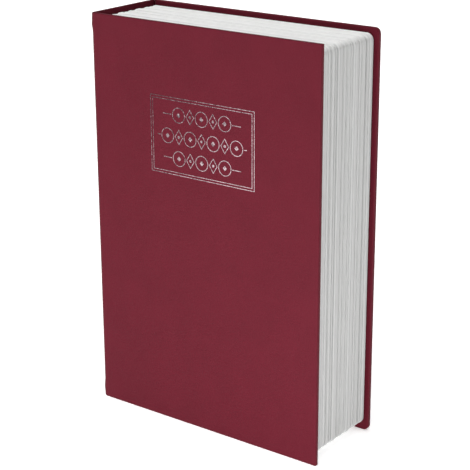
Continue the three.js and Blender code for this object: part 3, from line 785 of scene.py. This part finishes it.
def sink_windows(case, sizes):
    """The step down from the turned-in paper to the board, which the endpaper follows."""
    depth = cover_high.y - cover_low.y
    left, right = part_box("front_endpaper")[0].x - WINDOW_STEP, book_high.x - sizes.turn_in
    bottom, top = book_low.z + sizes.turn_in, book_high.z - sizes.turn_in
    planes = [((x, 0, 0), (1, 0, 0)) for x in (left, right)]
    planes += [((0, 0, z), (0, 0, 1)) for z in (bottom, top)]
    for side in (-1, 1):
        face_y = side * (book_high.y - depth)

        def on_inside(middle, normal):
            return same(middle.y, face_y) and abs(normal.y) > FACING

        def in_window(middle, normal):
            return on_inside(middle, normal) and left < middle.x < right and bottom < middle.z < top

        with editing(case):
            for place, normal in planes:
                select_faces(case, on_inside)
                bpy.ops.mesh.bisect(plane_co=place, plane_no=normal)
            select_faces(case, in_window)
            move_out((0, side * WINDOW_STEP, 0))


def is_inside(middle, normal):
    """A face on the inside of a cover or of the spine."""
    facing_in = normal.y * math.copysign(1, middle.y) < -0.5
    return (facing_in and middle.x > joint_high.x - NEAR) or (normal.x > 0.5 and middle.x < joint_high.x)


def darken_inside(case):
    """The turned-in paper and the inside of the spine get a darker material: painted shade for the inside
    of the case.
    """
    case.data.materials.append(finish("burgundy_turn_in"))
    with editing(case):
        # The faces inside the case take the darker material as painted shade
        select_faces(case, is_inside)
        case.active_material_index = 1
        bpy.ops.object.material_slot_assign()


def part_case(case):
    """Parts the front cover and its fold from the spine, and closes both pieces at the seam."""
    seam = joint_high.y - 2 * LAP
    with editing(case):
        select_faces(case, lambda middle, normal: middle.y < 0 and middle.x < joint_high.x - MM)
        bpy.ops.mesh.bisect(plane_co=(0, seam, 0), plane_no=(0, 1, 0))
        select_faces(case, lambda middle, normal: (
            middle.y < seam or (middle.y < 0 and middle.x > joint_high.x - LAP)))
        bpy.ops.mesh.separate(type="SELECTED")
    front = next(piece for piece in bpy.context.selected_objects if piece is not case)
    front.name = "front_leatherette"
    for piece in (case, front):
        with editing(piece):
            bpy.ops.mesh.select_mode(type="EDGE")
            bpy.ops.mesh.select_non_manifold()
            bpy.ops.mesh.edge_face_add()
    return front


class BOOKSAFE_OT_case(bpy.types.Operator):
    """Models the covering paper of the spine and both covers, the front one parted from the rest at its
    fold
    """

    bl_idname = "booksafe.case"
    bl_label = "Leatherette Case"

    def execute(self, context):
        sizes = context.scene.book_case
        case = fold_case(sizes)
        thicken_boards(case, sizes)
        draw_in_folds(case, sizes)
        round_case(case, sizes)
        sink_windows(case, sizes)
        front = part_case(case)
        complete(case, "burgundy_leatherette", "case")
        complete(front, "burgundy_leatherette", None)
        darken_inside(case)
        darken_inside(front)
        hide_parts("spine_paper", "back_joint_paper", "back_cover_paper")
        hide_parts("front_cover_paper", "front_joint_paper")
        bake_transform(front)
        return {"FINISHED"}


# The foil frame on the front cover

FOIL = 0.06 * MM
RING, LOZENGE, DOT, LINK_GAP = 9 * MM, 6 * MM, 1.6 * MM, 0.6 * MM
BAR_GAP, ROW_PITCH = 0.7 * MM, 12.6 * MM
ROWS = ((1, 5, 6 * MM), (0, 7, 2 * MM), (-1, 5, 6 * MM))  # place, links and length of the bars


def on_cover(centre, width, height, stroke):
    """Sizes the flat shape just added, and leaves only its outline if a stroke is given."""
    shape = bpy.context.active_object
    shape.location = (centre[0], book_low.y, centre[1])
    shape.rotation_euler = (math.radians(90), 0, 0)
    shape.scale = (width, height, 1)
    shape = settle("foil_shape")
    if stroke:
        with editing(shape):
            bpy.ops.mesh.select_all(action="SELECT")
            bpy.ops.mesh.inset(thickness=stroke)
            bpy.ops.mesh.delete(type="FACE")
    return shape


def foil_box(centre, width, height, stroke=0):
    """A rectangle of foil on the front cover."""
    deselect()
    bpy.ops.mesh.primitive_plane_add(size=1)
    return on_cover(centre, width, height, stroke)


def foil_disc(centre, width, height, sides, stroke=0):
    """A round or a lozenge of foil on the front cover."""
    deselect()
    bpy.ops.mesh.primitive_circle_add(vertices=sides, radius=0.5, fill_type="NGON")
    return on_cover(centre, width, height, stroke)


def chain(middle, z, links, bar, sizes):
    """A row of rings and lozenges by turns, with a bar at either end."""
    stroke = 1.2 * sizes.rule
    star = 0.32 * RING
    pitch = (RING + LOZENGE) / 2 + LINK_GAP
    pieces = []
    for i in range(links):
        centre = (middle + (i - (links - 1) / 2) * pitch, z)
        if i % 2 == 0:
            pieces.append(foil_disc(centre, RING, RING, 40, stroke))
            pieces.append(foil_disc(centre, star, star, 4))
        else:
            pieces.append(foil_disc(centre, LOZENGE, RING, 4, stroke))
            pieces.append(foil_disc(centre, DOT, DOT, 16))
    reach = (links - 1) / 2 * pitch + RING / 2 + BAR_GAP + bar / 2
    for side in (-1, 1):
        pieces.append(foil_box((middle + side * reach, z), bar, stroke))
    return pieces


class BOOKSAFE_OT_foil(bpy.types.Operator):
    """Stamps the double-rule frame and a plain ornament in silver foil on the front cover"""

    bl_idname = "booksafe.foil"
    bl_label = "Foil Frame"

    def execute(self, context):
        sizes = context.scene.book_case
        x, z = sizes.frame_side, sizes.frame_middle
        width, height, inner = sizes.frame_width, sizes.frame_height, 2 * sizes.rule_gap
        pieces = [
            foil_box((x, z), width, height, sizes.rule),
            foil_box((x, z), width - inner, height - inner, sizes.rule)]
        for row, links, bar in ROWS:
            pieces += chain(x, z + row * ROW_PITCH, links, bar, sizes)
        foil = join("foil_frame", pieces)
        apply_modifier(foil, "SOLIDIFY", thickness=FOIL, offset=0)
        complete(foil, "silver_foil", "front_cover")
        return {"FINISHED"}


# The page block

MOST_LIP = 1.2 * MM  # the widest rounding of a bundle's lips
POCKET_CORNER = 2.3 * MM

# Each bundle of pages from front to back: its share of the block's thickness, and how far it lies
# behind the outermost pages, in millimetres
BUNDLES = [
    (7.0, 0), (3.6, 0.35), (3.1, 0.15), (2.1, 0.4), (5.4, 0), (3.8, 0.3), (3.8, 0.1),
    (2.4, 0.4), (5.8, 0), (2.4, 0.35), (4.4, 0.1), (3.6, 0.3), (3.9, 0.2),
]


def bundle_spans():
    """Start, end and setback of each bundle along Y."""
    scale = (block_high.y - block_low.y) / sum(width for width, _ in BUNDLES)
    start = block_low.y
    spans = []
    for width, setback in BUNDLES:
        spans.append((start, start + width * scale, setback * MM))
        start += width * scale
    return spans


def is_block_corner(a, b):
    """One of the block's four edges along Y."""
    at_x = same(a.x, block_low.x) or same(a.x, block_high.x)
    at_z = same(a.z, block_low.z) or same(a.z, block_high.z)
    return along_y(a, b) and at_x and at_z


def groove_block(block, sizes):
    """Cuts a groove all round the block between each two bundles, and sets some bundles back."""
    spans = bundle_spans()
    half = sizes.groove / 2
    for _, end, _ in spans[:-1]:
        with editing(block):
            for edge in (end - half, end + half):
                bpy.ops.mesh.select_all(action="SELECT")
                bpy.ops.mesh.bisect(plane_co=(0, edge, 0), plane_no=(0, 1, 0))
            select_faces(block, lambda middle, normal: abs(middle.y - end) < half)
            bpy.ops.mesh.extrude_region_shrink_fatten(
                TRANSFORM_OT_shrink_fatten={"value": -sizes.groove_depth, "use_even_offset": True})
    for start, end, setback in spans:
        with editing(block):
            select_faces(block, lambda middle, normal: (
                start + half < middle.y < end - half and abs(normal.y) < ACROSS))
            bpy.ops.transform.shrink_fatten(value=-setback, use_even_offset=True)


def skin_depth(point, sizes):
    """How deep a point lies under the block's rounded outline."""
    middle = (block_low + block_high) / 2
    half = (block_high - block_low) / 2
    corner = sizes.corner if point.x > middle.x else sizes.spine_corner
    x = max(0, abs(point.x - middle.x) - half.x + corner)
    z = max(0, abs(point.z - middle.z) - half.z + corner)
    return corner - math.hypot(x, z)


def round_bundles(block, sizes):
    """Rounds both lips of each bundle."""
    half = sizes.groove / 2
    for index, (start, end, setback) in enumerate(bundle_spans()):
        near = start if index == 0 else start + half
        far = end if index == len(BUNDLES) - 1 else end - half

        def is_lip(a, b):
            on_lip = same(a.y, b.y) and (same(a.y, near) or same(a.y, far))
            depths = (skin_depth(a, sizes), skin_depth(b, sizes))
            return on_lip and all(abs(depth - setback) < 5 * NEAR for depth in depths)

        with editing(block):
            select_edges(block, is_lip)
            bevel_edges(min(MOST_LIP, sizes.crest * (far - near)), 4)


class BOOKSAFE_OT_page_block(bpy.types.Operator):
    """Models the moulded block with its bundles of pages and the pocket for the steel box"""

    bl_idname = "booksafe.page_block"
    bl_label = "Page Block"

    def execute(self, context):
        sizes = context.scene.book_block
        block = add_box("page_bundles", block_low, block_high)
        with editing(block):
            for x, radius in ((block_low.x, sizes.spine_corner), (block_high.x, sizes.corner)):
                select_edges(block, lambda a, b: is_block_corner(a, b) and same(a.x, x))
                bevel_edges(radius, 10)
        groove_block(block, sizes)
        round_bundles(block, sizes)
        pocket = add_box(
            "pocket_cutter",
            (block_low.x + sizes.border, block_low.y - PAST, block_low.z + sizes.border),
            (block_high.x - sizes.border, tray_high.y + SEAM, block_high.z - sizes.border))
        round_along_y(pocket, POCKET_CORNER)
        cut(block, pocket)
        complete(block, "white_page_plastic", "case", 50)
        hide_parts("page_block")
        return {"FINISHED"}


# Linings and boards, which stay as they are

class BOOKSAFE_OT_linings(bpy.types.Operator):
    """Gives the endpapers, the spine lining and the boards their papers"""

    bl_idname = "booksafe.linings"
    bl_label = "Linings and Boards"

    def execute(self, context):
        for node in ("front_endpaper", "back_endpaper", "spine_lining"):
            dress(node, "ivory_endpaper")
        for node in ("front_board", "back_board", "spine_board"):
            dress(node, "grey_book_board")
        return {"FINISHED"}


# The steel box and its lid

TRAY_CORNER, TRAY_INNER_CORNER, LID_CORNER = 2 * MM, 1.2 * MM, 1.5 * MM
FIT = 0.3 * MM  # between parts that move past each other
LEAF_ROOM = 4.5 * MM  # what the hinge takes from the corner of the box, along X and Y
DIAL_ROOM = 0.75 * MM  # from a dial to the lid's opening
CASE_LAP = 1 * MM  # how far the lock's case laps over the ends of that opening
KNUCKLE, LEAF, LEAF_EDGE = 2.1 * MM, 0.8 * MM, 0.12 * MM
RIVET_CROWN, RIVET_DOME, RIVET_SHANK = 0.95 * MM, 0.7 * MM, 1.5 * MM


def tray_shell(sizes):
    """The open steel box, its walls turned in at the top except along the hinge."""
    sheet = sizes.sheet
    inset = Vector((sheet,) * 3)
    shell = add_box("tray_shell", tray_low, tray_high)
    round_along_y(shell, TRAY_CORNER)
    inside = add_box("tray_inside", tray_low + inset, tray_high - inset)
    round_along_y(inside, TRAY_INNER_CORNER)
    mouth = add_box(
        "tray_mouth",
        (tray_low.x + sheet, tray_low.y - PAST, tray_low.z + sizes.flange),
        (tray_high.x - sizes.flange, tray_low.y + 2 * sheet, tray_high.z - sizes.flange))
    hinge_room = add_box(
        "hinge_room",
        (tray_low.x - PAST, tray_low.y - PAST, hinge_low.z - FIT),
        (hinge_low.x + LEAF_ROOM, hinge_low.y + LEAF_ROOM, hinge_high.z + FIT))
    cut(shell, inside, mouth, hinge_room)
    round_edges(shell, sizes.edge)
    complete(shell, "black_powder_coat", "case")
    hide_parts("steel_tray")


def lid_plate(sizes):
    """The lid, with the opening that the lock fills."""
    plate = add_box("lid_plate", lid_low, lid_high)
    with editing(plate):
        select_edges(plate, lambda a, b: along_y(a, b) and same(a.x, lid_high.x))
        bevel_edges(LID_CORNER, 5)
    dial_low, dial_high = dial_boxes[0]
    opening = add_box(
        "lid_opening",
        (lock_low.x + CASE_LAP, lid_low.y - PAST, dial_low.z - DIAL_ROOM),
        (lock_high.x - CASE_LAP, lid_high.y + PAST, dial_high.z + DIAL_ROOM))
    cut(plate, opening)
    round_edges(plate, sizes.edge)
    complete(plate, "black_powder_coat", "lid")
    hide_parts("lid_panel")


def hinge_leaf(name, node, body, first, sizes):
    """A leaf of the lid's hinge, with every other knuckle."""
    axis = hinge_low + Vector((KNUCKLE, KNUCKLE, 0))
    step = (hinge_high.z - hinge_low.z + FIT) / sizes.knuckles
    low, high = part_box(node)
    middle, far = (axis.x, high.x) if body == "lid" else (axis.y, high.y)

    def strip(part, start, end, bottom, top):
        """A flat part of the leaf, which runs along X on the lid and along Y on the box."""
        if body == "lid":
            return add_box(f"{name}_{part}", (start, low.y, bottom), (end, low.y + LEAF, top))
        return add_box(f"{name}_{part}", (low.x, start, bottom), (low.x + LEAF, end, top))

    parts = []
    starts = [hinge_low.z + i * step for i in range(first, sizes.knuckles, 2)]
    for i, z in enumerate(starts):
        top = z + step - FIT
        parts.append(add_rod(f"{name}_knuckle_{i}", "Z", z, top, KNUCKLE, axis, 48))
        parts.append(strip(f"tab_{i}", middle, middle + KNUCKLE + 2 * FIT, z, top))
    parts.append(strip("plate", middle + KNUCKLE + FIT, far, starts[0], starts[-1] + step - FIT))
    for part in parts:
        round_edges(part, LEAF_EDGE)
    leaf = join(name, parts)
    complete(leaf, "bright_zinc", body)
    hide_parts(node)


def rivets():
    """A domed rivet in the floor of the box, and its three copies."""
    low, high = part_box("tray_rivet_1")
    middle = (low + high) / 2
    head = add_rod("rivet_head_1", "Y", low.y, low.y + RIVET_CROWN, high.x - middle.x, middle)
    round_rim(head, lambda centre, normal: normal.y < -FACING, RIVET_DOME, 5)
    shank = add_rod("rivet_shank_1", "Y", low.y + RIVET_CROWN - BITE, high.y, RIVET_SHANK, middle, 32)
    first = join("rivet_1", [head, shank])
    complete(first, "bright_zinc", None)
    make_copies(first, "rivet_", "tray_rivet_", "case")


def make_copies(first, stem, node_stem, body):
    """Copies a piece from the first of four like nodes to the others."""
    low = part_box(node_stem + "1")[0]
    for i in (1, 2, 3, 4):
        node = node_stem + str(i)
        piece = first if i == 1 else copy_piece(first, stem + str(i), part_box(node)[0] - low)
        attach(piece, body)
        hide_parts(node)


class BOOKSAFE_OT_steel_box(bpy.types.Operator):
    """Models the steel box, its lid, the hinge and the rivets"""

    bl_idname = "booksafe.steel_box"
    bl_label = "Steel Box"

    def execute(self, context):
        sizes = context.scene.book_lock
        tray_shell(sizes)
        lid_plate(sizes)
        hinge_leaf("tray_leaf", "tray_hinge_leaf", "case", 0, sizes)
        hinge_leaf("lid_leaf", "lid_hinge_leaf", "lid", 1, sizes)
        dress("hinge_pin", "bright_zinc")
        rivets()
        return {"FINISHED"}


# The lock

PLATE_CORNER = 3 * MM
WINDOW_SIDE, WINDOW_END = 0.15 * MM, 0.8 * MM  # between a dial and its window, beside and above it
SLOT_START, SLOT_END, SLOT_HALF = 1.2 * MM, 8.8 * MM, 2.3 * MM  # from the knob's left side, and in Z
MARK_GAP, MARK_LENGTH, MARK_HALF, MARK_CORNER = 1.1 * MM, 2.2 * MM, 0.22 * MM, 0.2 * MM
INK, INK_SUNK = 0.02 * MM, 0.05 * MM  # half the ink's thickness, and how deep a mark starts
PRINT = 0.03 * MM  # how far the numbers stand out of their wheel
CAPITAL = 0.7  # height of a number, as a share of the size of its type
HUB, DISC, DISC_GAP, DISC_WIDTH = 2.6 * MM, 4.15 * MM, 2.4 * MM, 1 * MM  # the first two are radii
NOTCH_HALF, NOTCH_END = 1.3 * MM, 6 * MM  # in Z, and from the axis of the dials
KNOB_CORNER, KNOB_RIM = 0.8 * MM, 0.5 * MM
GROOVE, GROOVE_PITCH, GROOVE_OUT = 0.5 * MM, 1.5 * MM, 0.1 * MM  # its radius, and its axis over the knob
STEM_START, STEM, STEM_HALF = 1.5 * MM, 3 * MM, 2 * MM
SCREW_HEAD, SCREW_SHANK, SCREW_RIM = 1.4 * MM, 1.3 * MM, 0.6 * MM
CROSS_HALF, CROSS_DEEP, CROSS_THIN = 1.5 * MM, 0.7 * MM, 0.35 * MM
CASE_EDGE, BOLT_EDGE = 0.2 * MM, 0.15 * MM


def lock_plate(sizes):
    """The escutcheon, with a window for each dial and a slot for the knob."""
    back = lid_low.y - SEAM
    plate = add_box("lock_plate", plate_low, (plate_high.x, back, plate_high.z))
    round_along_y(plate, PLATE_CORNER, 10)
    front, behind = plate_low.y - PAST, back + PAST
    cutters = []
    for low, high in dial_boxes:
        radius = (high.y - low.y) / 2
        half = math.sqrt(radius ** 2 - (low.y + radius - back) ** 2) + WINDOW_END
        cutters.append(add_box(
            "window", (low.x - WINDOW_SIDE, front, lock_z - half),
            (low.x + sizes.wheel + 2 * WINDOW_SIDE, behind, lock_z + half)))
    cutters.append(add_box(
        "slot", (knob_low.x + SLOT_START, front, lock_z - SLOT_HALF),
        (knob_low.x + SLOT_END, behind, lock_z + SLOT_HALF)))
    cut(plate, *cutters)
    round_edges(plate, 1.2 * sizes.edge, 3)
    complete(plate, "satin_chrome", "lid")
    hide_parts("escutcheon")


def reading_marks(sizes):
    """A short black line beside each window, where the number is read."""
    marks = []
    for i, (low, _) in enumerate(dial_boxes):
        start = low.x + sizes.wheel + MARK_GAP
        mark = add_box(
            f"mark_{i}", (start, plate_low.y - INK, lock_z - MARK_HALF),
            (start + MARK_LENGTH, plate_low.y + INK_SUNK, lock_z + MARK_HALF))
        round_along_y(mark, MARK_CORNER, 3)
        marks.append(mark)
    complete(join("reading_marks", marks), "black_number_ink", "lid")


def dial_round(index):
    """The left side of a dial, its right side, its radius and a point on its axis."""
    low, high = dial_boxes[index - 1]
    radius = (high.y - low.y) / 2
    return low.x, high.x, radius, Vector((0, low.y + radius, (low.z + high.z) / 2))


def number_dial(index, sizes):
    """A scalloped wheel with its hub and its notched disc."""
    left, right, radius, centre = dial_round(index)
    rim_x = left + sizes.wheel
    wheel = add_rod(f"wheel_{index}", "X", left, rim_x, radius - PRINT, centre, 120)
    reach = radius + sizes.scallop - sizes.scallop_depth
    cutters = []
    for i in range(sizes.positions):
        turn = (i + 0.5) * 2 * math.pi / sizes.positions
        place = centre + reach * Vector((0, math.cos(turn), math.sin(turn)))
        cutters.append(add_rod("scallop", "X", left - PAST, rim_x + PAST, sizes.scallop, place, 32))
    cut(wheel, *cutters)
    round_edges(wheel, sizes.edge)
    hub = add_rod(f"hub_{index}", "X", rim_x - 2 * BITE, right, HUB, centre, 48)
    disc_x = rim_x + DISC_GAP
    disc = add_rod(f"disc_{index}", "X", disc_x, disc_x + DISC_WIDTH, DISC, centre)
    notch = add_box(
        "notch", (disc_x - PAST, centre.y + HUB, centre.z - NOTCH_HALF),
        (disc_x + 2 * PAST, centre.y + NOTCH_END, centre.z + NOTCH_HALF))
    cut(disc, notch)
    dial = join(f"scalloped_dial_{index}", [wheel, hub, disc])
    complete(dial, "white_dial_plastic", f"dial_{index}")
    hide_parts(f"number_dial_{index}")


def flat_number(text, height):
    """A number as a mesh that stands upright, faces -Y and has its middle at the origin."""
    deselect()
    bpy.ops.object.text_add(rotation=(math.radians(90), 0, 0))
    number = bpy.context.active_object
    number.data.body = text
    number.data.size = height / CAPITAL
    number.data.extrude = INK
    number.data.resolution_u = 6
    bpy.ops.object.convert(target="MESH")
    bpy.ops.object.transform_apply(location=True, rotation=True, scale=True)
    corners = [Vector(corner) for corner in number.bound_box]
    middle = sum(corners, Vector()) / 8
    number.data.transform(Matrix.Translation(-middle))
    with editing(number):
        bpy.ops.mesh.select_all(action="SELECT")
        bpy.ops.mesh.remove_doubles(threshold=WELD)
        # Cut across, so that it can bend round a dial
        for tenth in range(-4, 5):
            bpy.ops.mesh.select_all(action="SELECT")
            bpy.ops.mesh.bisect(plane_co=(0, 0, tenth / 10 * height), plane_no=(0, 0, 1))
    return number


def dial_numbers(index, sizes):
    """The numbers printed round a dial, upright where they face the reader."""
    left, _, radius, centre = dial_round(index)
    centre.x = left + sizes.wheel / 2
    numbers = []
    for i in range(sizes.positions):
        number = flat_number(str(i), sizes.number_height)
        for vertex in number.data.vertices:
            x, y, z = vertex.co
            turn = z / radius + i * 2 * math.pi / sizes.positions
            out = radius - INK - y
            vertex.co = centre + Vector((x, -out * math.cos(turn), out * math.sin(turn)))
        number.name = f"number_{index}_{i}"
        numbers.append(number)
    ring = join(f"dial_numbers_{index}", numbers)
    complete(ring, "black_number_ink", f"dial_{index}")


def slide_knob():
    """The knob that draws the bolt, grooved for a thumb."""
    cap = add_box("knob_grip", knob_low, (knob_high.x, plate_low.y - FIT, knob_high.z))
    round_along_y(cap, KNOB_CORNER)
    round_rim(cap, lambda middle, normal: normal.y < -FACING, KNOB_RIM, 4)
    middle = (knob_low + knob_high) / 2
    grooves = []
    for i in (-1, 0, 1):
        place = Vector((middle.x + i * GROOVE_PITCH, knob_low.y - GROOVE_OUT, 0))
        grooves.append(add_rod("groove", "Z", knob_low.z - PAST, knob_high.z + PAST, GROOVE, place, 32))
    cut(cap, *grooves)
    stem_x = knob_low.x + STEM_START
    stem = add_box(
        "knob_stem", (stem_x, plate_low.y - FIT - BITE, middle.z - STEM_HALF),
        (stem_x + STEM, knob_high.y, middle.z + STEM_HALF))
    knob = join("thumb_knob", [cap, stem])
    complete(knob, "satin_chrome", "bolt")
    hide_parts("release_knob")


def lock_screws():
    """A cross-head screw behind the lid, and its three copies."""
    low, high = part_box("lock_screw_1")
    middle = (low + high) / 2
    head = add_rod("screw_head_1", "Y", high.y - SCREW_HEAD, high.y, high.x - middle.x, middle)
    round_rim(head, lambda centre, normal: normal.y > FACING, SCREW_RIM, 4)
    top = Vector((middle.x, high.y, middle.z))
    arms = []
    for x, z in ((CROSS_HALF, CROSS_THIN), (CROSS_THIN, CROSS_HALF)):
        arm = Vector((x, CROSS_DEEP, z))
        arms.append(add_box("cross_arm", top - arm, top + arm))
    cut(head, *arms)
    shank_y = high.y - SCREW_HEAD + 2 * BITE
    shank = add_rod("screw_shank_1", "Y", low.y, shank_y, SCREW_SHANK, middle, 32)
    first = join("screw_1", [head, shank])
    complete(first, "bright_zinc", None)
    make_copies(first, "screw_", "lock_screw_", "lid")


def soften(node, name, material, body, width):
    """A copy of a solid with its edges rounded, in its place."""
    piece = copy_piece(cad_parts[node], name, (0, 0, 0))
    with editing(piece):
        bpy.ops.mesh.select_all(action="SELECT")
        bpy.ops.mesh.remove_doubles(threshold=WELD)
        bpy.ops.mesh.dissolve_limited(angle_limit=math.radians(1))
    round_edges(piece, width)
    complete(piece, material, body)
    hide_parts(node)


class BOOKSAFE_OT_lock(bpy.types.Operator):
    """Models the escutcheon, the dials with their numbers, the knob, the case and its screws"""

    bl_idname = "booksafe.lock"
    bl_label = "Dial Lock"

    def execute(self, context):
        sizes = context.scene.book_lock
        lock_plate(sizes)
        reading_marks(sizes)
        for index in (1, 2, 3):
            number_dial(index, sizes)
            dial_numbers(index, sizes)
        slide_knob()
        lock_screws()
        soften("lock_case", "lock_housing", "black_lock_plastic", "lid", CASE_EDGE)
        soften("bolt_slide", "lock_bolt", "bright_zinc", "bolt", BOLT_EDGE)
        for node in ("dial_shaft", "click_spring"):
            dress(node, "bright_zinc")
        return {"FINISHED"}


# Stage

LOW_LIGHT = {"name": "low_light", "place": (0.1, -0.6, 0.03), "aim": (0, 0, 0.04), "size": (1.2, 0.3)}
FOOT_LIGHT = {
    "name": "foot_light", "place": (0.12, -0.17, 0.008), "aim": (0.04, -0.02, 0.02), "size": (0.4, 0.04)}
FADE_START, FADE_END = 0.04, 0.22  # height of a direction over which the horizon fades to the sky
CAP_EDGE, CAP_FULL = 0.74, 0.94  # nearness to the overhead light's direction where it starts and is full
FLOOR_SIZE = 24


def add_camera(sizes):
    """The camera at the photograph's place."""
    back = -Vector(sizes.camera_aim).normalized()
    up = Vector(sizes.camera_up)
    right = up.cross(back).normalized()
    up = back.cross(right)
    camera = bpy.data.objects.new("camera", bpy.data.cameras.new("camera"))
    bpy.context.scene.collection.objects.link(camera)
    turn = Matrix((right, up, back)).transposed()
    camera.matrix_world = Matrix.Translation(sizes.camera_place) @ turn.to_4x4()
    camera.data.lens = sizes.lens
    camera.data.sensor_width = 36
    camera.data.clip_start, camera.data.clip_end = 0.01, 50
    bpy.context.scene.camera = camera


def add_light(name, place, aim, size, power):
    """A soft light that looks at a point and that the camera doesn't see."""
    data = bpy.data.lights.new(name, "AREA")
    data.shape = "RECTANGLE"
    data.size, data.size_y = size
    data.energy = power
    light = bpy.data.objects.new(name, data)
    light.location = place
    light.visible_camera = False
    light.rotation_euler = (Vector(aim) - Vector(place)).to_track_quat("-Z", "Y").to_euler()
    bpy.context.scene.collection.objects.link(light)


def add_surround(sizes):
    """A white surround: bright at the horizon, dim above it, with a broad soft light overhead."""
    world = bpy.data.worlds.new("studio_surround")
    world.use_nodes = True
    tree = world.node_tree
    tree.nodes.clear()
    direction = add_node(tree, "TexCoord").outputs["Generated"]
    height = add_node(tree, "SeparateXYZ", None, {0: direction}).outputs["Z"]
    low = add_node(
        tree, "MapRange",
        {"From Min": FADE_START, "From Max": FADE_END, "To Min": sizes.horizon, "To Max": sizes.sky},
        {"Value": height})
    toward = add_node(
        tree, "VectorMath", {"operation": "DOT_PRODUCT", 1: sizes.cap_place}, {0: direction})
    cap = add_node(
        tree, "MapRange",
        {"From Min": CAP_EDGE, "From Max": CAP_FULL, "To Min": 0, "To Max": sizes.cap}, {"Value": toward})
    strength = add_node(tree, "Math", {"operation": "ADD"}, {0: low, 1: cap})
    background = add_node(tree, "Background", {"Color": (1, 1, 1, 1)}, {"Strength": strength})
    add_node(tree, "OutputWorld", None, {"Surface": background})
    bpy.context.scene.world = world


class BOOKSAFE_OT_stage(bpy.types.Operator):
    """Sets the white floor, the surround, the soft lights and the camera"""

    bl_idname = "booksafe.stage"
    bl_label = "Studio"

    def execute(self, context):
        sizes = context.scene.book_stage
        deselect()
        bpy.ops.mesh.primitive_plane_add(size=FLOOR_SIZE, location=(0, 0, book_low.z))
        floor = settle("studio_floor")
        floor.data.materials.append(finish("opal_acrylic"))
        add_camera(sizes)
        for light, power in ((LOW_LIGHT, sizes.low), (FOOT_LIGHT, sizes.foot)):
            add_light(power=power, **light)
        add_surround(sizes)
        context.scene.view_settings.view_transform = "Standard"
        return {"FINISHED"}


OPERATORS = (
    BOOKSAFE_OT_case,
    BOOKSAFE_OT_foil,
    BOOKSAFE_OT_linings,
    BOOKSAFE_OT_page_block,
    BOOKSAFE_OT_steel_box,
    BOOKSAFE_OT_lock,
    BOOKSAFE_OT_stage,
)


class BOOKSAFE_PT_panel(bpy.types.Panel):
    """Sizes and steps of the book safe"""

    bl_idname = "BOOKSAFE_PT_panel"
    bl_label = "Book Safe"
    bl_space_type = "VIEW_3D"
    bl_region_type = "UI"
    bl_category = "Book Safe"

    def draw(self, context):
        for name, kind in SETTINGS.items():
            box = self.layout.box()
            box.label(text=kind.__doc__)
            for prop in kind.__annotations__:
                box.prop(getattr(context.scene, name), prop)
        for operator in OPERATORS:
            self.layout.operator(operator.bl_idname)


CLASSES = (*SETTINGS.values(), *OPERATORS, BOOKSAFE_PT_panel)


def register():
    for kind in CLASSES:
        bpy.utils.register_class(kind)
    for name, kind in SETTINGS.items():
        setattr(bpy.types.Scene, name, PointerProperty(type=kind))


def unregister():
    for name in SETTINGS:
        delattr(bpy.types.Scene, name)
    for kind in reversed(CLASSES):
        bpy.utils.unregister_class(kind)


def main():
    register()
    for operator in OPERATORS:
        category, step = operator.bl_idname.split(".")
        getattr(getattr(bpy.ops, category), step)()


if __name__ == "__main__":
    main()
